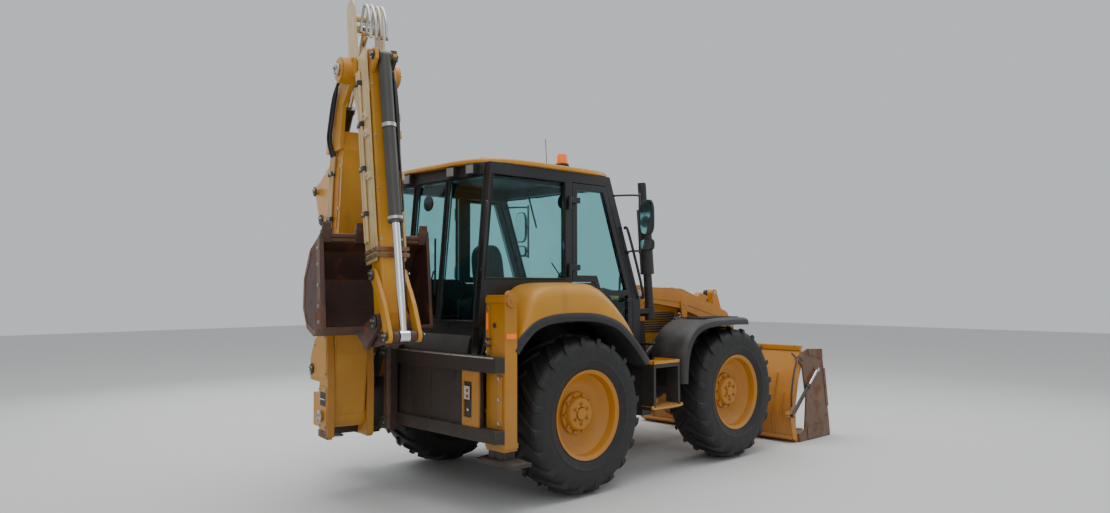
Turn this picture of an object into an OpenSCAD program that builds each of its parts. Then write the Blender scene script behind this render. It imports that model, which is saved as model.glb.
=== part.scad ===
// Backhoe loader with equal wheels, all-wheel steering, a side-shift hoe and a clam bucket.
// X runs forward, Y to the machine's left and Z up. Z is 0 where the tyres stand.

/* [Wheels] */
// Distance between the two axles
wheelbase = 2200; // [2100:10:2300]
// Distance between the middles of two tyres on one axle
track = 1895; // [1860:5:1940]
// Outer diameter of a tyre over its lugs
tyre_d = 1360; // [1320:5:1380]
// Width of a tyre
tyre_w = 430; // [400:5:440]
// Outer diameter of the rim's lip
rim_lip_d = 762; // [740:2:780]
// Lugs on each side of a tyre
lug_count = 20; // [16:1:22]
// Height of a lug over the carcass
lug_h = 34; // [20:1:40]
// Distance of a steering pin from the middle plane
kingpin_y = 690; // [680:1:700]

/* [Frame] */
// Outer half width of the two frame rails
frame_half_w = 345; // [300:5:360]
// Thickness of a frame rail
frame_wall = 60; // [30:5:80]
// Height of the frame rails' underside
frame_z = 700; // [680:5:720]
// Depth of the frame rails
frame_h = 250; // [220:5:260]

/* [Cab] */
// Outer half width of the cab
cab_half_w = 800; // [780:5:820]
// Height of the cab floor's top
floor_z = 1140; // [1120:5:1160]
// Height of the cab frame's top
cab_top_z = 2790; // [2740:5:2840]
// Width of a cab pillar
pillar_w = 80; // [60:5:95]
// Thickness of the glass
glass_t = 6; // [4:1:8]
// Thickness of a door
door_t = 45; // [35:1:50]
// Thickness of the roof at its edge
roof_edge = 45; // [30:5:60]

/* [Hood] */
// Half width of the hood
hood_half_w = 420; // [380:5:430]
// Height of the hood's top at the cab
hood_top_z = 1700; // [1600:5:1720]
// Thickness of the hood's sheet and stiffeners
hood_t = 22; // [10:1:30]

/* [Loader] */
// Distance of a loader arm's middle plane from the machine's
arm_y = 540; // [535:1:545]
// Thickness of a loader arm
arm_t = 70; // [50:2:76]
// Half width of the loader bucket
bucket_half_w = 1200; // [1150:10:1250]
// Bore radius of a lift cylinder's rod
lift_rod_r = 28; // [20:1:32]
// Radius of a lift cylinder's barrel
lift_barrel_r = 38; // [34:1:39]

/* [Stabilizers] */
// Distance of a leg's middle plane from the machine's
leg_y = 1060; // [1055:1:1065]
// Width of a leg housing across the machine
leg_w = 223; // [200:1:230]
// Length of a leg housing along the machine
leg_l = 125; // [115:1:130]
// Wall of a leg housing
leg_wall = 12; // [8:1:16]
// Height of a leg housing's top
leg_top_z = 1700; // [1600:10:1740]

/* [Hoe] */
// Angle by which the hoe points to the right of straight back
swing_rest = 80; // [76:1:82]
// Distance of the swing pins behind the rear axle
king_back = 1420; // [1420:1:1450]
// Distance of the swing pins left of the middle plane
king_y = 550; // [520:5:555]
// Half width of the boom's box
boom_half_w = 130; // [120:1:134]
// Half width of the hoe bucket
hoe_half_w = 450; // [420:5:455]
// Number of teeth on the hoe bucket
tooth_count = 4; // [3:1:5]
// Radius of the swing pins
swing_pin_r = 38; // [30:1:42]

/* [Hidden] */
$fn = 40;

// The rear axle stands this far behind the middle of the whole machine
rear_axle_x = -1065;
front_axle_x = wheelbase;
axle_z = tyre_d / 2;
run_gap = 0.05;
seat_gap = 0.3;
slide_gap = 0.4;
move_gap = 10;

// Places a piece that is drawn from the rear axle's foot
module from_axle() translate([rear_axle_x, 0, 0]) children();

// Places a piece of the hoe: X runs outward along the hoe, Y to its right side
module from_king() from_axle() translate([-king_back, king_y, 0]) rotate([0, 0,
    180 + swing_rest]) children();

module mirrored() {
    children();
    mirror([0, 1, 0]) children();
}

// A block between two corners
module block(low, high) translate(low) cube(high - low);

// A flat plate with its outline in X and Z, from one Y to another
module plate(outline, y_from, y_to)
    translate([0, y_to, 0]) rotate([90, 0, 0]) linear_extrude(y_to - y_from) polygon(outline);

// A round bar or disc that lies across the machine
module across(at, r, y_from, y_to)
    translate([at.x, y_to, at.y]) rotate([90, 0, 0]) cylinder(h = y_to - y_from, r = r);

// Corners of the band that touches two circles from outside
function band(a, b, ra, rb) =
    let (d = norm(b - a), n = (b - a) / d, s = (ra - rb) / d, c = sqrt(1 - s * s),
        left = [n.x * s - n.y * c, n.y * s + n.x * c],
        right = [n.x * s + n.y * c, n.y * s - n.x * c])
    [a + ra * left, b + rb * left, b + rb * right, a + ra * right];

// Corners of an outline that runs clockwise, moved inward by a gap
function inset(points, gap) = [
    for (i = [0 : len(points) - 1])
        let (count = len(points), here = points[i],
            back = here - points[(i + count - 1) % count], ahead = points[(i + 1) % count] - here,
            u = back / norm(back), v = ahead / norm(ahead), a = [u.y, -u.x], b = [v.y, -v.x])
        here + gap * (a + b) / (1 + a * b)
];

// A strap with round ends between two points in X and Z
module strap(a, b, ra, rb, y_from, y_to) {
    plate(band(a, b, ra, rb), y_from, y_to);
    across(a, ra, y_from, y_to);
    across(b, rb, y_from, y_to);
}

// Turns the Z axis so that it runs from one point in X and Z to another
module toward(a, b)
    translate([a.x, 0, a.y]) rotate([0, atan2(b.x - a.x, b.y - a.y), 0]) children();

// A ram's barrel with its base eye, bored for its rod
module ram_barrel(a, b, length, r, rod_r, eye_r, eye_w, pin_r)
    difference() {
        union() {
            toward(a, b) cylinder(h = length, r = r);
            toward(a, b) translate([0, 0, length - 50]) cylinder(h = 50, r = r + 8);
            across(a, eye_r, -eye_w / 2, eye_w / 2);
        }
        toward(a, b) translate([0, 0, eye_r + 20]) cylinder(h = length, r = rod_r + run_gap);
        across(a, pin_r + run_gap, -eye_w, eye_w);
    }

// A ram's rod, from its inner end to the eye at b, with the short pin that fills the eye
module ram_rod(a, b, inner, rod_r, eye_r, eye_w) {
    toward(a, b) translate([0, 0, inner]) cylinder(h = norm(b - a) - inner, r = rod_r);
    across(b, eye_r, -eye_w / 2, eye_w / 2);
}

// Main frame, axles and engine
tower_pin = [1250, 1700];
tower_pin_r = 32;
tower_t = 22;
tower_in = arm_y - arm_t / 2 - move_gap - tower_t;
tower_out = arm_y + arm_t / 2 + move_gap;
lift_base = [1200, 900];
lift_eye = [2050, 1460];
lift_pin_r = 24;
ram_eye_w = 60;
frame_rear_x = -930;
frame_front_x = 2740;
tower_outline = [[1030, 700], [1330, 700], [1400, 1000], [1340, 1700], [1300, 1780], [1200, 1780], [1160,
    1700], [1076, 1000]];

module main_frame() color("#2e2c2a") from_axle() {
    mirrored() difference() {
        block([frame_rear_x, frame_half_w - frame_wall, frame_z],
            [frame_front_x, frame_half_w, frame_z + frame_h]);
        for (x = [0, front_axle_x]) across([x, axle_z], beam_r + 12, 0, 500);
    }
    block([frame_rear_x, frame_wall - frame_half_w, frame_z + 120],
        [frame_rear_x + 60, frame_half_w - frame_wall, frame_z + frame_h]);
    block([950, frame_wall - frame_half_w, frame_z], [1150, frame_half_w - frame_wall, frame_z + 80]);
    block([frame_front_x - 70, frame_wall - frame_half_w, frame_z],
        [frame_front_x, frame_half_w - frame_wall, frame_z + frame_h]);
    mirrored() {
        plate(tower_outline, tower_in, tower_in + tower_t);
        plate(tower_outline, tower_out, tower_out + tower_t);
        block([1090, frame_half_w, frame_z + 20], [1300, tower_in, frame_z + 200]);
        block([1060, tower_in, frame_z], [1300, tower_out + tower_t, frame_z + 25]);
    }
    mirrored() across(tower_pin, tower_pin_r, tower_in - 20, tower_out + tower_t + 14);
    mirrored() across(lift_base, lift_pin_r, tower_in, tower_out + tower_t + 10);
}

beam_r = 105;
yoke_r = 52;
yoke_low = axle_z - 150;
yoke_high = axle_z + 150;

module axle(x) {
    seat_y = frame_half_w - frame_wall - seat_gap;
    difference() {
        union() {
            across([x, axle_z], beam_r, -kingpin_y + 130, kingpin_y - 130);
            translate([x, 0, axle_z]) sphere(r = 185);
            block([x - 120, -seat_y, axle_z + 60], [x + 120, seat_y, frame_z + 110]);
            mirrored() translate([x, 0, axle_z]) block([-60, kingpin_y - 150, -70], [60, kingpin_y, 70]);
            mirrored() translate([x, kingpin_y, axle_z - 80 + seat_gap]) cylinder(h = 160 - 2 * seat_gap,
                r = yoke_r + 20);
        }
        mirrored() translate([x, kingpin_y, 0]) cylinder(h = 2000, r = 30 + run_gap);
    }
}

module axles() color("#2b2a29") from_axle() {
    axle(0);
    axle(front_axle_x);
}

module engine_block() color("#3a3a3a") from_axle()
    block([1650, -engine_half_w, frame_z + frame_h - 60], [hood_front_x - 250, engine_half_w, 1500]);
engine_half_w = frame_half_w - frame_wall - seat_gap;

// Wheels, drawn round their own middle with the outer face toward +Y
rim_w = 380;
rim_seat_r = 356;
hub_r = 150;
disc_y = 5;
disc_t = 24;
bead_y = 168;

// The bead stands off the seat so that the flats between its corners clear the round rim
bead_r = rim_seat_r / cos(0.32 * 360 / lug_count) + seat_gap;

function at_angle(r, a) = [r * cos(a), r * sin(a)];

// Rows of the tyre's skin from bead to bead: Y, radius and how much of the lug stands on it
lug_rows = [
    [-bead_y, bead_r, 0], [-tyre_w / 2, 0.76 * tyre_d / 2, 0], [-0.46 * tyre_w, tyre_d / 2 - lug_h - 22,
        0.8],
    [-18, tyre_d / 2 - lug_h - 1, 1], [18, tyre_d / 2 - lug_h - 1, 1],
    [0.46 * tyre_w, tyre_d / 2 - lug_h - 22, 0.8], [tyre_w / 2, 0.76 * tyre_d / 2, 0], [bead_y, bead_r, 0]
];

module tyre() {
    pitch = 360 / lug_count;
    edge = [0, 0.08, 0.40, 0.48];
    raised = [0, 1, 1, 0];
    columns = 4 * lug_count;
    rows = len(lug_rows);
    points = [for (row = lug_rows) for (i = [0 : columns - 1])
        let (half = row[0] < 0 ? 0 : 0.5,
            sweep = 0.62 * pitch * abs(row[0]) / (tyre_w / 2) * (row[2] > 0 ? 1 : 0.9),
            a = pitch * (floor(i / 4) + edge[i % 4] + half) - sweep,
            r = row[1] + lug_h * row[2] * raised[i % 4],
            p = at_angle(r, a))
        [p.x, row[0], p.y]];
    faces = [for (j = [0 : rows - 1]) for (i = [0 : columns - 1])
        let (k = (j + 1) % rows, shift = j == rows - 1 ? 2 : (j == 3 ? -2 : 0), n = (i + 1) % columns,
            a = j * columns + i, b = j * columns + n,
            c = k * columns + (n + shift + columns) % columns,
                d = k * columns + (i + shift + columns) % columns)
        each [[a, b, c], [a, c, d]]];
    polyhedron(points, faces);
}

module rim() {
    body = [[0, disc_y], [290, disc_y], [300, -60], [rim_seat_r - 14, -110], [rim_seat_r - 14, -176],
        [rim_lip_d / 2 - 12, -190], [rim_lip_d / 2, -190], [rim_lip_d / 2, -176], [rim_seat_r, -172],
        [rim_seat_r, 172], [rim_lip_d / 2, 176], [rim_lip_d / 2, 190], [rim_lip_d / 2 - 12, 190],
        [rim_seat_r - 14, 176], [rim_seat_r - 14, 110], [300, 70], [290, disc_y + disc_t], [0,
            disc_y + disc_t]];
    rotate([-90, 0, 0]) {
        rotate_extrude() polygon(body);
        translate([0, 0, disc_y + disc_t]) cylinder(h = 62, r = hub_r - 15);
        translate([0, 0, disc_y + disc_t]) cylinder(h = 26, r = hub_r + 30);
        for (i = [0 : 9]) rotate([0, 0, 36 * i]) translate([hub_r + 8, 0,
            disc_y + disc_t]) cylinder(h = 46, r = 12);
    }
}

module at_wheel(x, side) from_axle() translate([x, side * track / 2, axle_z])
    mirror([0, side < 0 ? 1 : 0, 0]) children();

module rim_front_left() color("#d9891b") at_wheel(front_axle_x, 1) rim();
module rim_front_right() color("#d9891b") at_wheel(front_axle_x, -1) rim();
module rim_rear_left() color("#d9891b") at_wheel(0, 1) rim();
module rim_rear_right() color("#d9891b") at_wheel(0, -1) rim();
module tyre_front_left() color("#1d1d1e") at_wheel(front_axle_x, 1) tyre();
module tyre_front_right() color("#1d1d1e") at_wheel(front_axle_x, -1) tyre();
module tyre_rear_left() color("#1d1d1e") at_wheel(0, 1) tyre();
module tyre_rear_right() color("#1d1d1e") at_wheel(0, -1) tyre();

// A knuckle: fork over the axle's end, its steering pin and the hub that carries the wheel
module knuckle() {
    disc_back = track / 2 + disc_y - kingpin_y;
    for (z = [-130, 80]) translate([0, 0, z]) cylinder(h = 50, r = yoke_r + 18);
    for (z = [-130, 80]) block([-60, 0, z], [60, 150, z + 50]);
    block([-85, 92, -130], [85, 150, 130]);
    translate([0, 0, -130]) cylinder(h = 260, r = 30);
    rotate([-90, 0, 0]) translate([0, 0, 140]) cylinder(h = disc_back - 140 - seat_gap, r = 120);
}
module at_knuckle(x, side) from_axle() translate([x, side * kingpin_y, axle_z])
    mirror([0, side < 0 ? 1 : 0, 0]) children();
module knuckle_front_left() color("#333130") at_knuckle(front_axle_x, 1) knuckle();
module knuckle_front_right() color("#333130") at_knuckle(front_axle_x, -1) knuckle();
module knuckle_rear_left() color("#333130") at_knuckle(0, 1) knuckle();
module knuckle_rear_right() color("#333130") at_knuckle(0, -1) knuckle();

// Cab: side outline of the frame, seen from the side
b_pillar_x = 60;
sill_z = floor_z - 90;
header_h = 90;
belt_z = 1830;
cab_side = [[-950, sill_z], [-950, 1180], [-800, cab_top_z], [640, cab_top_z], [1070, 1620], [1070,
    sill_z]];
door_hole = [
    [b_pillar_x + pillar_w, 1800], [b_pillar_x + pillar_w, cab_top_z - header_h], [590,
        cab_top_z - header_h],
    [965, 1660], [965, 1330], [900, floor_z + 30], [790, floor_z + 30], [685, 1345], [585, 1525], [490,
        1655], [425, 1800]
];
quarter_hole = [[-859.5, belt_z], [-775, cab_top_z - header_h], [b_pillar_x, cab_top_z - header_h],
    [b_pillar_x, belt_z]];
side_t = 60;

// Outline of the wheel arch that is cut from the cab's lower corners, and its liner
arch_z = 1440;
arch_in = 440;
arch_cut = [[-960, sill_z - 5], [-960, arch_z], [560, arch_z], [735, 1140], [735, sill_z - 5]];
arch_liner = [
    [-924, arch_z], [560, arch_z], [735, 1140], [735, sill_z], [775, sill_z], [775, 1150], [583,
        arch_z + 40],
    [-922, arch_z + 40]
];
arch_wall = [[-950, sill_z], [775, sill_z], [775, 1150], [583, arch_z + 40], [-922, arch_z + 40], [-950,
    1180]];

module cab_frame() color("#262728") from_axle() {
    // Side walls with the door openings, rear side windows and wheel arches
    mirrored() difference() {
        plate(cab_side, cab_half_w - side_t, cab_half_w);
        plate(door_hole, cab_half_w - side_t - 5, cab_half_w + 5);
        plate(quarter_hole, cab_half_w - side_t - 5, cab_half_w + 5);
        plate(arch_cut, cab_half_w - side_t - 5, cab_half_w + 5);
    }
    mirrored() {
        plate(arch_liner, arch_in - 40, cab_half_w - side_t + 10);
        plate(arch_wall, arch_in - 40, arch_in);
    }
    half = cab_half_w - side_t;
    // Floor, rear wall, rear header, front wall and front header
    block([-950, -arch_in, sill_z], [740, arch_in, sill_z + 40]);
    block([735, -half - 10, sill_z], [1070, half + 10, sill_z + 40]);
    plate([[-950, sill_z], [-950, 1180], [-922, window_z], [-862, window_z], [-890, 1180], [-890,
        sill_z]], -half, half);
    plate([[-810, cab_top_z - 110], [-800, cab_top_z], [-700, cab_top_z], [-700, cab_top_z - 110]], -half,
        half);
    plate([[1070, sill_z + 40], [1070, 1560], [1040, 1620], [990, 1620], [1020, 1560], [1020,
        sill_z + 40]], -half, half);
    plate([[680, cab_top_z - 100], [640, cab_top_z], [560, cab_top_z], [590, cab_top_z - 100]], -half,
        half);
    // Posts of the rear window
    for (y = post_ys) plate([[-922, window_z], [-806, cab_top_z - 110], [-766, cab_top_z - 110], [-882,
        window_z]], y, y + post_w);
    // Door hinges on the pillar
    mirrored() for (z = hinge_zs) translate([b_pillar_x + 20, cab_half_w + hinge_out, z]) {
        cylinder(h = 2 * knuckle_h, r = hinge_r);
        cylinder(h = knuckle_h, r = hinge_r + 6);
        translate([-14, -hinge_out, 0]) cube([28, hinge_out - 4, knuckle_h]);
    }
    // Hood hinges
    for (y = hood_hinge_ys) for (side = [-1, 1]) difference() {
        y_from = side > 0 ? y + hood_knuckle_w + seat_gap : y - hood_knuckle_w - seat_gap - 16;
        union() {
            plate([[1060, 1530], [1080, 1530], [1081, 1703], [1120, 1703], [1120, 1737], [1060, 1737]],
                y_from, y_from + 16);
            across(hood_hinge, 17, y_from, y_from + 16);
        }
        across(hood_hinge, hinge_r + run_gap, y_from - 1, y_from + 17);
    }
}
window_z = arch_z + 40;
post_ys = [-260, 220];
post_w = 36;
hood_hinge_ys = [-250, 250];
hood_knuckle_w = 40;

hinge_out = 34;
hinge_r = 10;
knuckle_h = 60;
hinge_zs = [1850, 2450];

module cab_roof() color("#d9901f") from_axle() {
    over = 30;
    roof_side = [[-850, cab_top_z], [-830, cab_top_z + roof_edge], [-60, cab_top_z + roof_edge + 60],
        [700, cab_top_z + roof_edge + 5], [800, cab_top_z + 12], [790, cab_top_z]];
    translate([beacon.x, beacon.y, cab_top_z + 20]) cylinder(h = beacon.z - cab_top_z - 20, r = 70);
    intersection() {
        plate(roof_side, -cab_half_w - over, cab_half_w + over);
        translate([-900, 0, cab_top_z - 1200]) rotate([0, 90, 0]) roof_crown(over);
    }
}
beacon = [250, -560, cab_top_z + 84];
module roof_crown(over) linear_extrude(1800)
    polygon([[-1200, -cab_half_w - over], [-1200 - roof_edge - 5, -cab_half_w - over + 15],
        [-1200 - roof_edge - 60, -300],
        [-1200 - roof_edge - 60, 300], [-1200 - roof_edge - 5, cab_half_w + over - 15], [-1200,
            cab_half_w + over]]);

module cab_glass() color("#9fc9c4") from_axle() {
    half = cab_half_w - side_t;
    // Windscreen, rear window and rear side windows
    plate([[1034, 1620.3], [1042, 1620.3], [668, cab_top_z - 100.3], [660, cab_top_z - 100.3]],
        seat_gap - half, half - seat_gap);
    edges = [-half, post_ys[0], post_ys[0] + post_w, post_ys[1], post_ys[1] + post_w, half];
    for (i = [0 : 2]) plate([[-901, window_z + seat_gap], [-895, window_z + seat_gap], [-783,
        cab_top_z - 110.3],
        [-789, cab_top_z - 110.3]], edges[2 * i] + seat_gap, edges[2 * i + 1] - seat_gap);
    mirrored() plate(inset(quarter_hole, seat_gap), cab_half_w - 30 - glass_t, cab_half_w - 30);
}

module cab_interior() color("#34363a") from_axle() {
    seat_x = 60;
    // Seat stand, side consoles, front console with the column and wheel, and the rear lever stand
    block([seat_x - 170, -200, sill_z + 40], [seat_x + 170, 200, 1420]);
    block([-860, -390, sill_z + 40], [-640, 390, 1330]);
    block([780, -230, sill_z + 40], [1019, 230, 1500]);
    translate([790, 0, 1430]) rotate([0, -28, 0]) {
        cylinder(h = 300, r = 32);
        translate([0, 0, 300]) difference() {
            cylinder(h = 24, r = 205);
            translate([0, 0, -1]) difference() {
                cylinder(h = 26, r = 180);
                for (a = [90, 210, 330]) rotate([0, 0, a]) translate([0, -14, 0]) cube([200, 28, 40]);
                cylinder(h = 30, r = 45);
            }
        }
    }
    for (y = [-330, -250, 250, 330]) translate([-720, y, 1330]) {
        cylinder(h = 250, r = 9);
        translate([0, 0, 235]) cylinder(h = 60, r = 20);
    }
    block([-200, -390, sill_z + 40], [260, -290, 1640]);
}

module seat_cushions() color("#3c3f42") from_axle() {
    block([-150, -230, 1420.5], [300, 230, 1540]);
    plate([[-160, 1540.3], [-40, 1540.3], [-150, 2080], [-200, 2180], [-255, 2180], [-240, 1700]], -220,
        220);
}

// Doors, each with its window cut, hung on the pillar behind them
door_gap = 6;
door_outline = inset(door_hole, door_gap);
door_window = [
    [b_pillar_x + pillar_w + 66, 1866], [b_pillar_x + pillar_w + 66, cab_top_z - header_h - 66],
    [550, cab_top_z - header_h - 66], [872, 1730], [520, 1730], [462, 1866]
];
door_low_window = [[545, 1680], [893, 1680], [893, 1400], [865, 1240], [812, 1240], [738, 1380], [640,
    1550]];

module door() {
    difference() {
        plate(door_outline, cab_half_w - door_t, cab_half_w);
        plate(door_window, cab_half_w - door_t - 5, cab_half_w + 5);
        plate(door_low_window, cab_half_w - door_t - 5, cab_half_w + 5);
    }
    for (z = hinge_zs) translate([b_pillar_x + 20, cab_half_w + hinge_out, z + knuckle_h + seat_gap]) {
        difference() {
            union() {
                cylinder(h = knuckle_h, r = hinge_r + 6);
                translate([0, -12, 0]) cube([pillar_w + 40, 24, 50]);
            }
            translate([0, 0, -1]) cylinder(h = knuckle_h + 2, r = hinge_r + run_gap);
        }
        translate([pillar_w + 4, -hinge_out - 1, 0]) cube([34, hinge_out + 10, 50]);
    }
    block([840, cab_half_w, 1620], [940, cab_half_w + 34, 1650]);
}
module door_panes() {
    y = cab_half_w - door_t / 2;
    for (window = [door_window, door_low_window])
        plate(inset(window, seat_gap), y - glass_t / 2, y + glass_t / 2);
}
module door_left() color("#27282a") from_axle() door();
module door_right() color("#27282a") from_axle() mirror([0, 1, 0]) door();
module door_glass_left() color("#9fc9c4") from_axle() door_panes();
module door_glass_right() color("#9fc9c4") from_axle() mirror([0, 1, 0]) door_panes();

// Hood, grille and what stands outside
hood_front_x = 2700;
hood_low_z = 1090;
hood_hinge = [1120, hood_top_z + 20];
hood_side = [[1085, hood_low_z], [1085, hood_top_z], [2100, hood_top_z - 40], [2560, hood_top_z - 110],
    [hood_front_x, hood_top_z - 240],
    [hood_front_x, hood_low_z]];
hood_inside = [[1000, hood_low_z - 10], [1000, hood_top_z - hood_t], [2100, hood_top_z - 40 - hood_t],
    [2545, hood_top_z - 110 - hood_t], [hood_front_x - 20, hood_top_z - 240 - 10], [hood_front_x + 10,
        hood_top_z - 260], [hood_front_x + 10, hood_low_z - 10]];

module hood() color("#d9901f") from_axle() {
    difference() {
        plate(hood_side, -hood_half_w, hood_half_w);
        plate(hood_inside, hood_t - hood_half_w, hood_half_w - hood_t);
        for (i = [0 : 5]) block([1500 + 120 * i, -hood_half_w - 10, 1300], [1570 + 120 * i,
            hood_half_w + 10, 1500]);
    }
    for (y = hood_hinge_ys) {
        across(hood_hinge, 15, y - hood_knuckle_w, y + hood_knuckle_w);
        across(hood_hinge, hinge_r, y - hood_knuckle_w - 18, y + hood_knuckle_w + 18);
        block([hood_hinge.x - 15, y - hood_knuckle_w, hood_top_z - 10], [hood_hinge.x + 15,
            y + hood_knuckle_w, hood_hinge.y]);
    }
}

// The grille closes the hood's open front and tilts with it
grille_low_z = hood_low_z + 10;
grille_high_z = hood_top_z - 260.6;
module grille() color("#2a2b2c") from_axle() {
    half = hood_half_w - hood_t - seat_gap;
    difference() {
        block([hood_front_x - 40, -half, grille_low_z], [hood_front_x, half, grille_high_z]);
        for (z = [grille_low_z + 40 : 50 : grille_high_z - 60])
            block([hood_front_x - 50, 45 - half, z], [hood_front_x + 10, half - 45, z + 30]);
    }
    for (y = [-200, 0, 200]) block([hood_front_x - 34, y - 10, grille_low_z + 20], [hood_front_x - 20,
        y + 10, grille_high_z - 20]);
}

// Fixed nose below the hood, with the bumper beam on the frame's end and its upright tow bore
tow_r = 21;
nose_top_z = hood_low_z - 12;
module bumper() color("#2a2b2c") from_axle() difference() {
    union() {
        block([frame_front_x + seat_gap, -300, frame_z - 40], [frame_front_x + 100, 300, frame_z + 110]);
        block([frame_front_x + seat_gap, -hood_half_w, frame_z + 100], [frame_front_x + 26, hood_half_w,
            nose_top_z]);
    }
    translate([frame_front_x + 50, 0, frame_z - 50]) cylinder(h = 170, r = tow_r);
}

stack_low = [1290, 1560];
stack_high = [1180, 2790];
module exhaust_stack() color("#1f1f20") from_axle() translate([0, -735, 0]) {
    difference() {
        union() {
            toward(stack_low, stack_high) cylinder(h = norm(stack_high - stack_low), r = 42);
            toward(stack_low, stack_high) translate([0, 0, 330]) cylinder(h = 640, r = 68);
            translate([stack_low.x, 0, 1440]) cylinder(h = 140, r = 48);
        }
        toward(stack_low, stack_high) translate([0, 0, 980]) cylinder(h = 400, r = 36);
        translate([stack_high.x, 0, stack_high.y]) rotate([0, 35, 0]) block([-200, -100, 0], [200, 100,
            200]);
    }
    block([1070 + seat_gap, -32, 1500], [1270, -8, 1550]);
    block([1262, 0, 1470], [1290, 735 - tower_out - tower_t - seat_gap, 1500]);
}

module mirrors() color("#222324") from_axle() mirrored() {
    for (z = [2080, 2620]) strap([700 + (2620 - z) * 0.36, z], [1060, z + 30], 10, 10,
        cab_half_w + seat_gap, cab_half_w + 15);
    translate([1060, cab_half_w + 8, 2090]) cylinder(h = 580, r = 10);
    block([1035, cab_half_w + 12, 2230], [1075, cab_half_w + 200, 2600]);
}

module lamps() color("#e0761c") from_axle() {
    // Rear work lamps, front work lamps, head lamps and the beacon
    mirrored() for (y = [330, 600]) {
        block([-858, y - 55, cab_top_z - 95], [-812, y + 55, cab_top_z - seat_gap]);
        block([750, y - 55, cab_top_z - 95], [796, y + 55, cab_top_z - seat_gap]);
    }
    mirrored() translate([frame_front_x + 26 + seat_gap, 330, 970]) rotate([0, 90, 0]) cylinder(h = 40,
        r = 70);
    translate([beacon.x, beacon.y, beacon.z + seat_gap]) cylinder(h = 125, r = 62);
}

// Mudguards over the tyres
fender_out = 1160;
rail_rear_x = -1050;
guard_rear_x = rail_rear_x + 90 + leg_l + seat_gap;
module wheel_guards() color("#d9901f") from_axle() mirrored() {
    difference() {
        plate([[guard_rear_x, 1245], [-730, 1480], [-560, 1800], [120, 1790], [430, 1560], [760, 1080],
            [735, 1065], [420, 1400],
            [180, 1470], [-200, 1500], [-600, 1455], [-820, 1230]], cab_half_w + seat_gap, fender_out);
        plate([[-640, 1500], [-520, 1770], [100, 1765], [400, 1540], [190, 1500], [-200, 1530]],
            cab_half_w - 5, fender_out - 30);
    }
    plate([[1270, 830], [1300, 1130], [1540, 1400], [2000, 1445], [2400, 1445], [2400, 1425], [2000,
        1425], [1550, 1378],
        [1320, 1120], [1290, 830]], 735, 1160);
    block([1300, tower_out + tower_t, 1180], [1380, 760, 1200]);
}

// Steps, tank and battery box between the wheels
module side_boxes() color("#262728") from_axle() mirrored() {
    block([880, frame_half_w + seat_gap, 560], [1020, 980, 1015]);
    block([870, 820, 1010], [1260, 1130, 1040]);
    for (x = [870, 1230]) block([x, 985, 640], [x + 30, 1130, 1012]);
    block([870, 985, 620], [1260, 1130, 650]);
}

// Rails that carry the hoe, with the leg housings at their ends
rail_top = [1105, 1225];
rail_low = [570, 670];
rail_end_y = leg_y + leg_w / 2;
carriage_t = 70;
module rear_rails() color("#3a332e") from_axle() {
    for (z = [rail_top, rail_low]) block([rail_rear_x, -rail_end_y, z[0]], [rail_rear_x + 90, rail_end_y,
        z[1]]);
    block([rail_rear_x + 30, -leg_y + leg_w / 2, rail_low[1]], [rail_rear_x + 60, leg_y - leg_w / 2,
        rail_top[0]]);
    mirrored() block([rail_rear_x + 60, frame_half_w - frame_wall, 720], [frame_rear_x, frame_half_w, 940]);
}

module leg_housings() color("#d9901f") from_axle() mirrored() {
    difference() {
        block([rail_rear_x + 90, leg_y - leg_w / 2, 500], [rail_rear_x + 90 + leg_l, leg_y + leg_w / 2,
            leg_top_z]);
        block([rail_rear_x + 90 + leg_wall, leg_y - leg_w / 2 + leg_wall, 490],
            [rail_rear_x + 90 + leg_l - leg_wall, leg_y + leg_w / 2 - leg_wall, leg_top_z - leg_wall]);
    }
    across([rail_rear_x + 90 + leg_l / 2, leg_top_z - 10], 45, leg_y + leg_w / 2 - 30,
        leg_y + leg_w / 2 + 12);
}
module leg() {
    low = [rail_rear_x + 90 + leg_wall + slide_gap, leg_y - leg_w / 2 + leg_wall + slide_gap];
    high = [rail_rear_x + 90 + leg_l - leg_wall - slide_gap, leg_y + leg_w / 2 - leg_wall - slide_gap];
    mid = rail_rear_x + 90 + leg_l / 2;
    block([low.x, low.y, 440], [high.x, high.y, 1600]);
    block([mid - 95, leg_y - 210, 395], [mid + 95, leg_y + 240, 425]);
    plate([[mid - 60, 424], [mid - 50, 485], [mid + 50, 485], [mid + 60, 424]], leg_y - 60, leg_y - 30);
    plate([[mid - 60, 424], [mid - 50, 485], [mid + 50, 485], [mid + 60, 424]], leg_y + 30, leg_y + 60);
    across([mid, 445], 22, leg_y - 80, leg_y + 80);
}
module leg_left() color("#8a6a4c") from_axle() leg();
module leg_right() color("#8a6a4c") from_axle() mirror([0, 1, 0]) leg();

// Loader: arms, rams, bucket and clam
arm_top = [2000, 1640];
arm_bend = [2800, 1400];
bucket_pin = [3110, 270];
bucket_pin_r = 28;
cross_tube = [2925, 1290];
cross_tube_r = 45;
tilt_y = 462;
tilt_base = [2620, 1690];
tilt_eye = [3190, 470];
tilt_pin_r = 18;
tilt_eye_w = 40;
arm_in = arm_y - arm_t / 2;
arm_out = arm_y + arm_t / 2;

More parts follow.
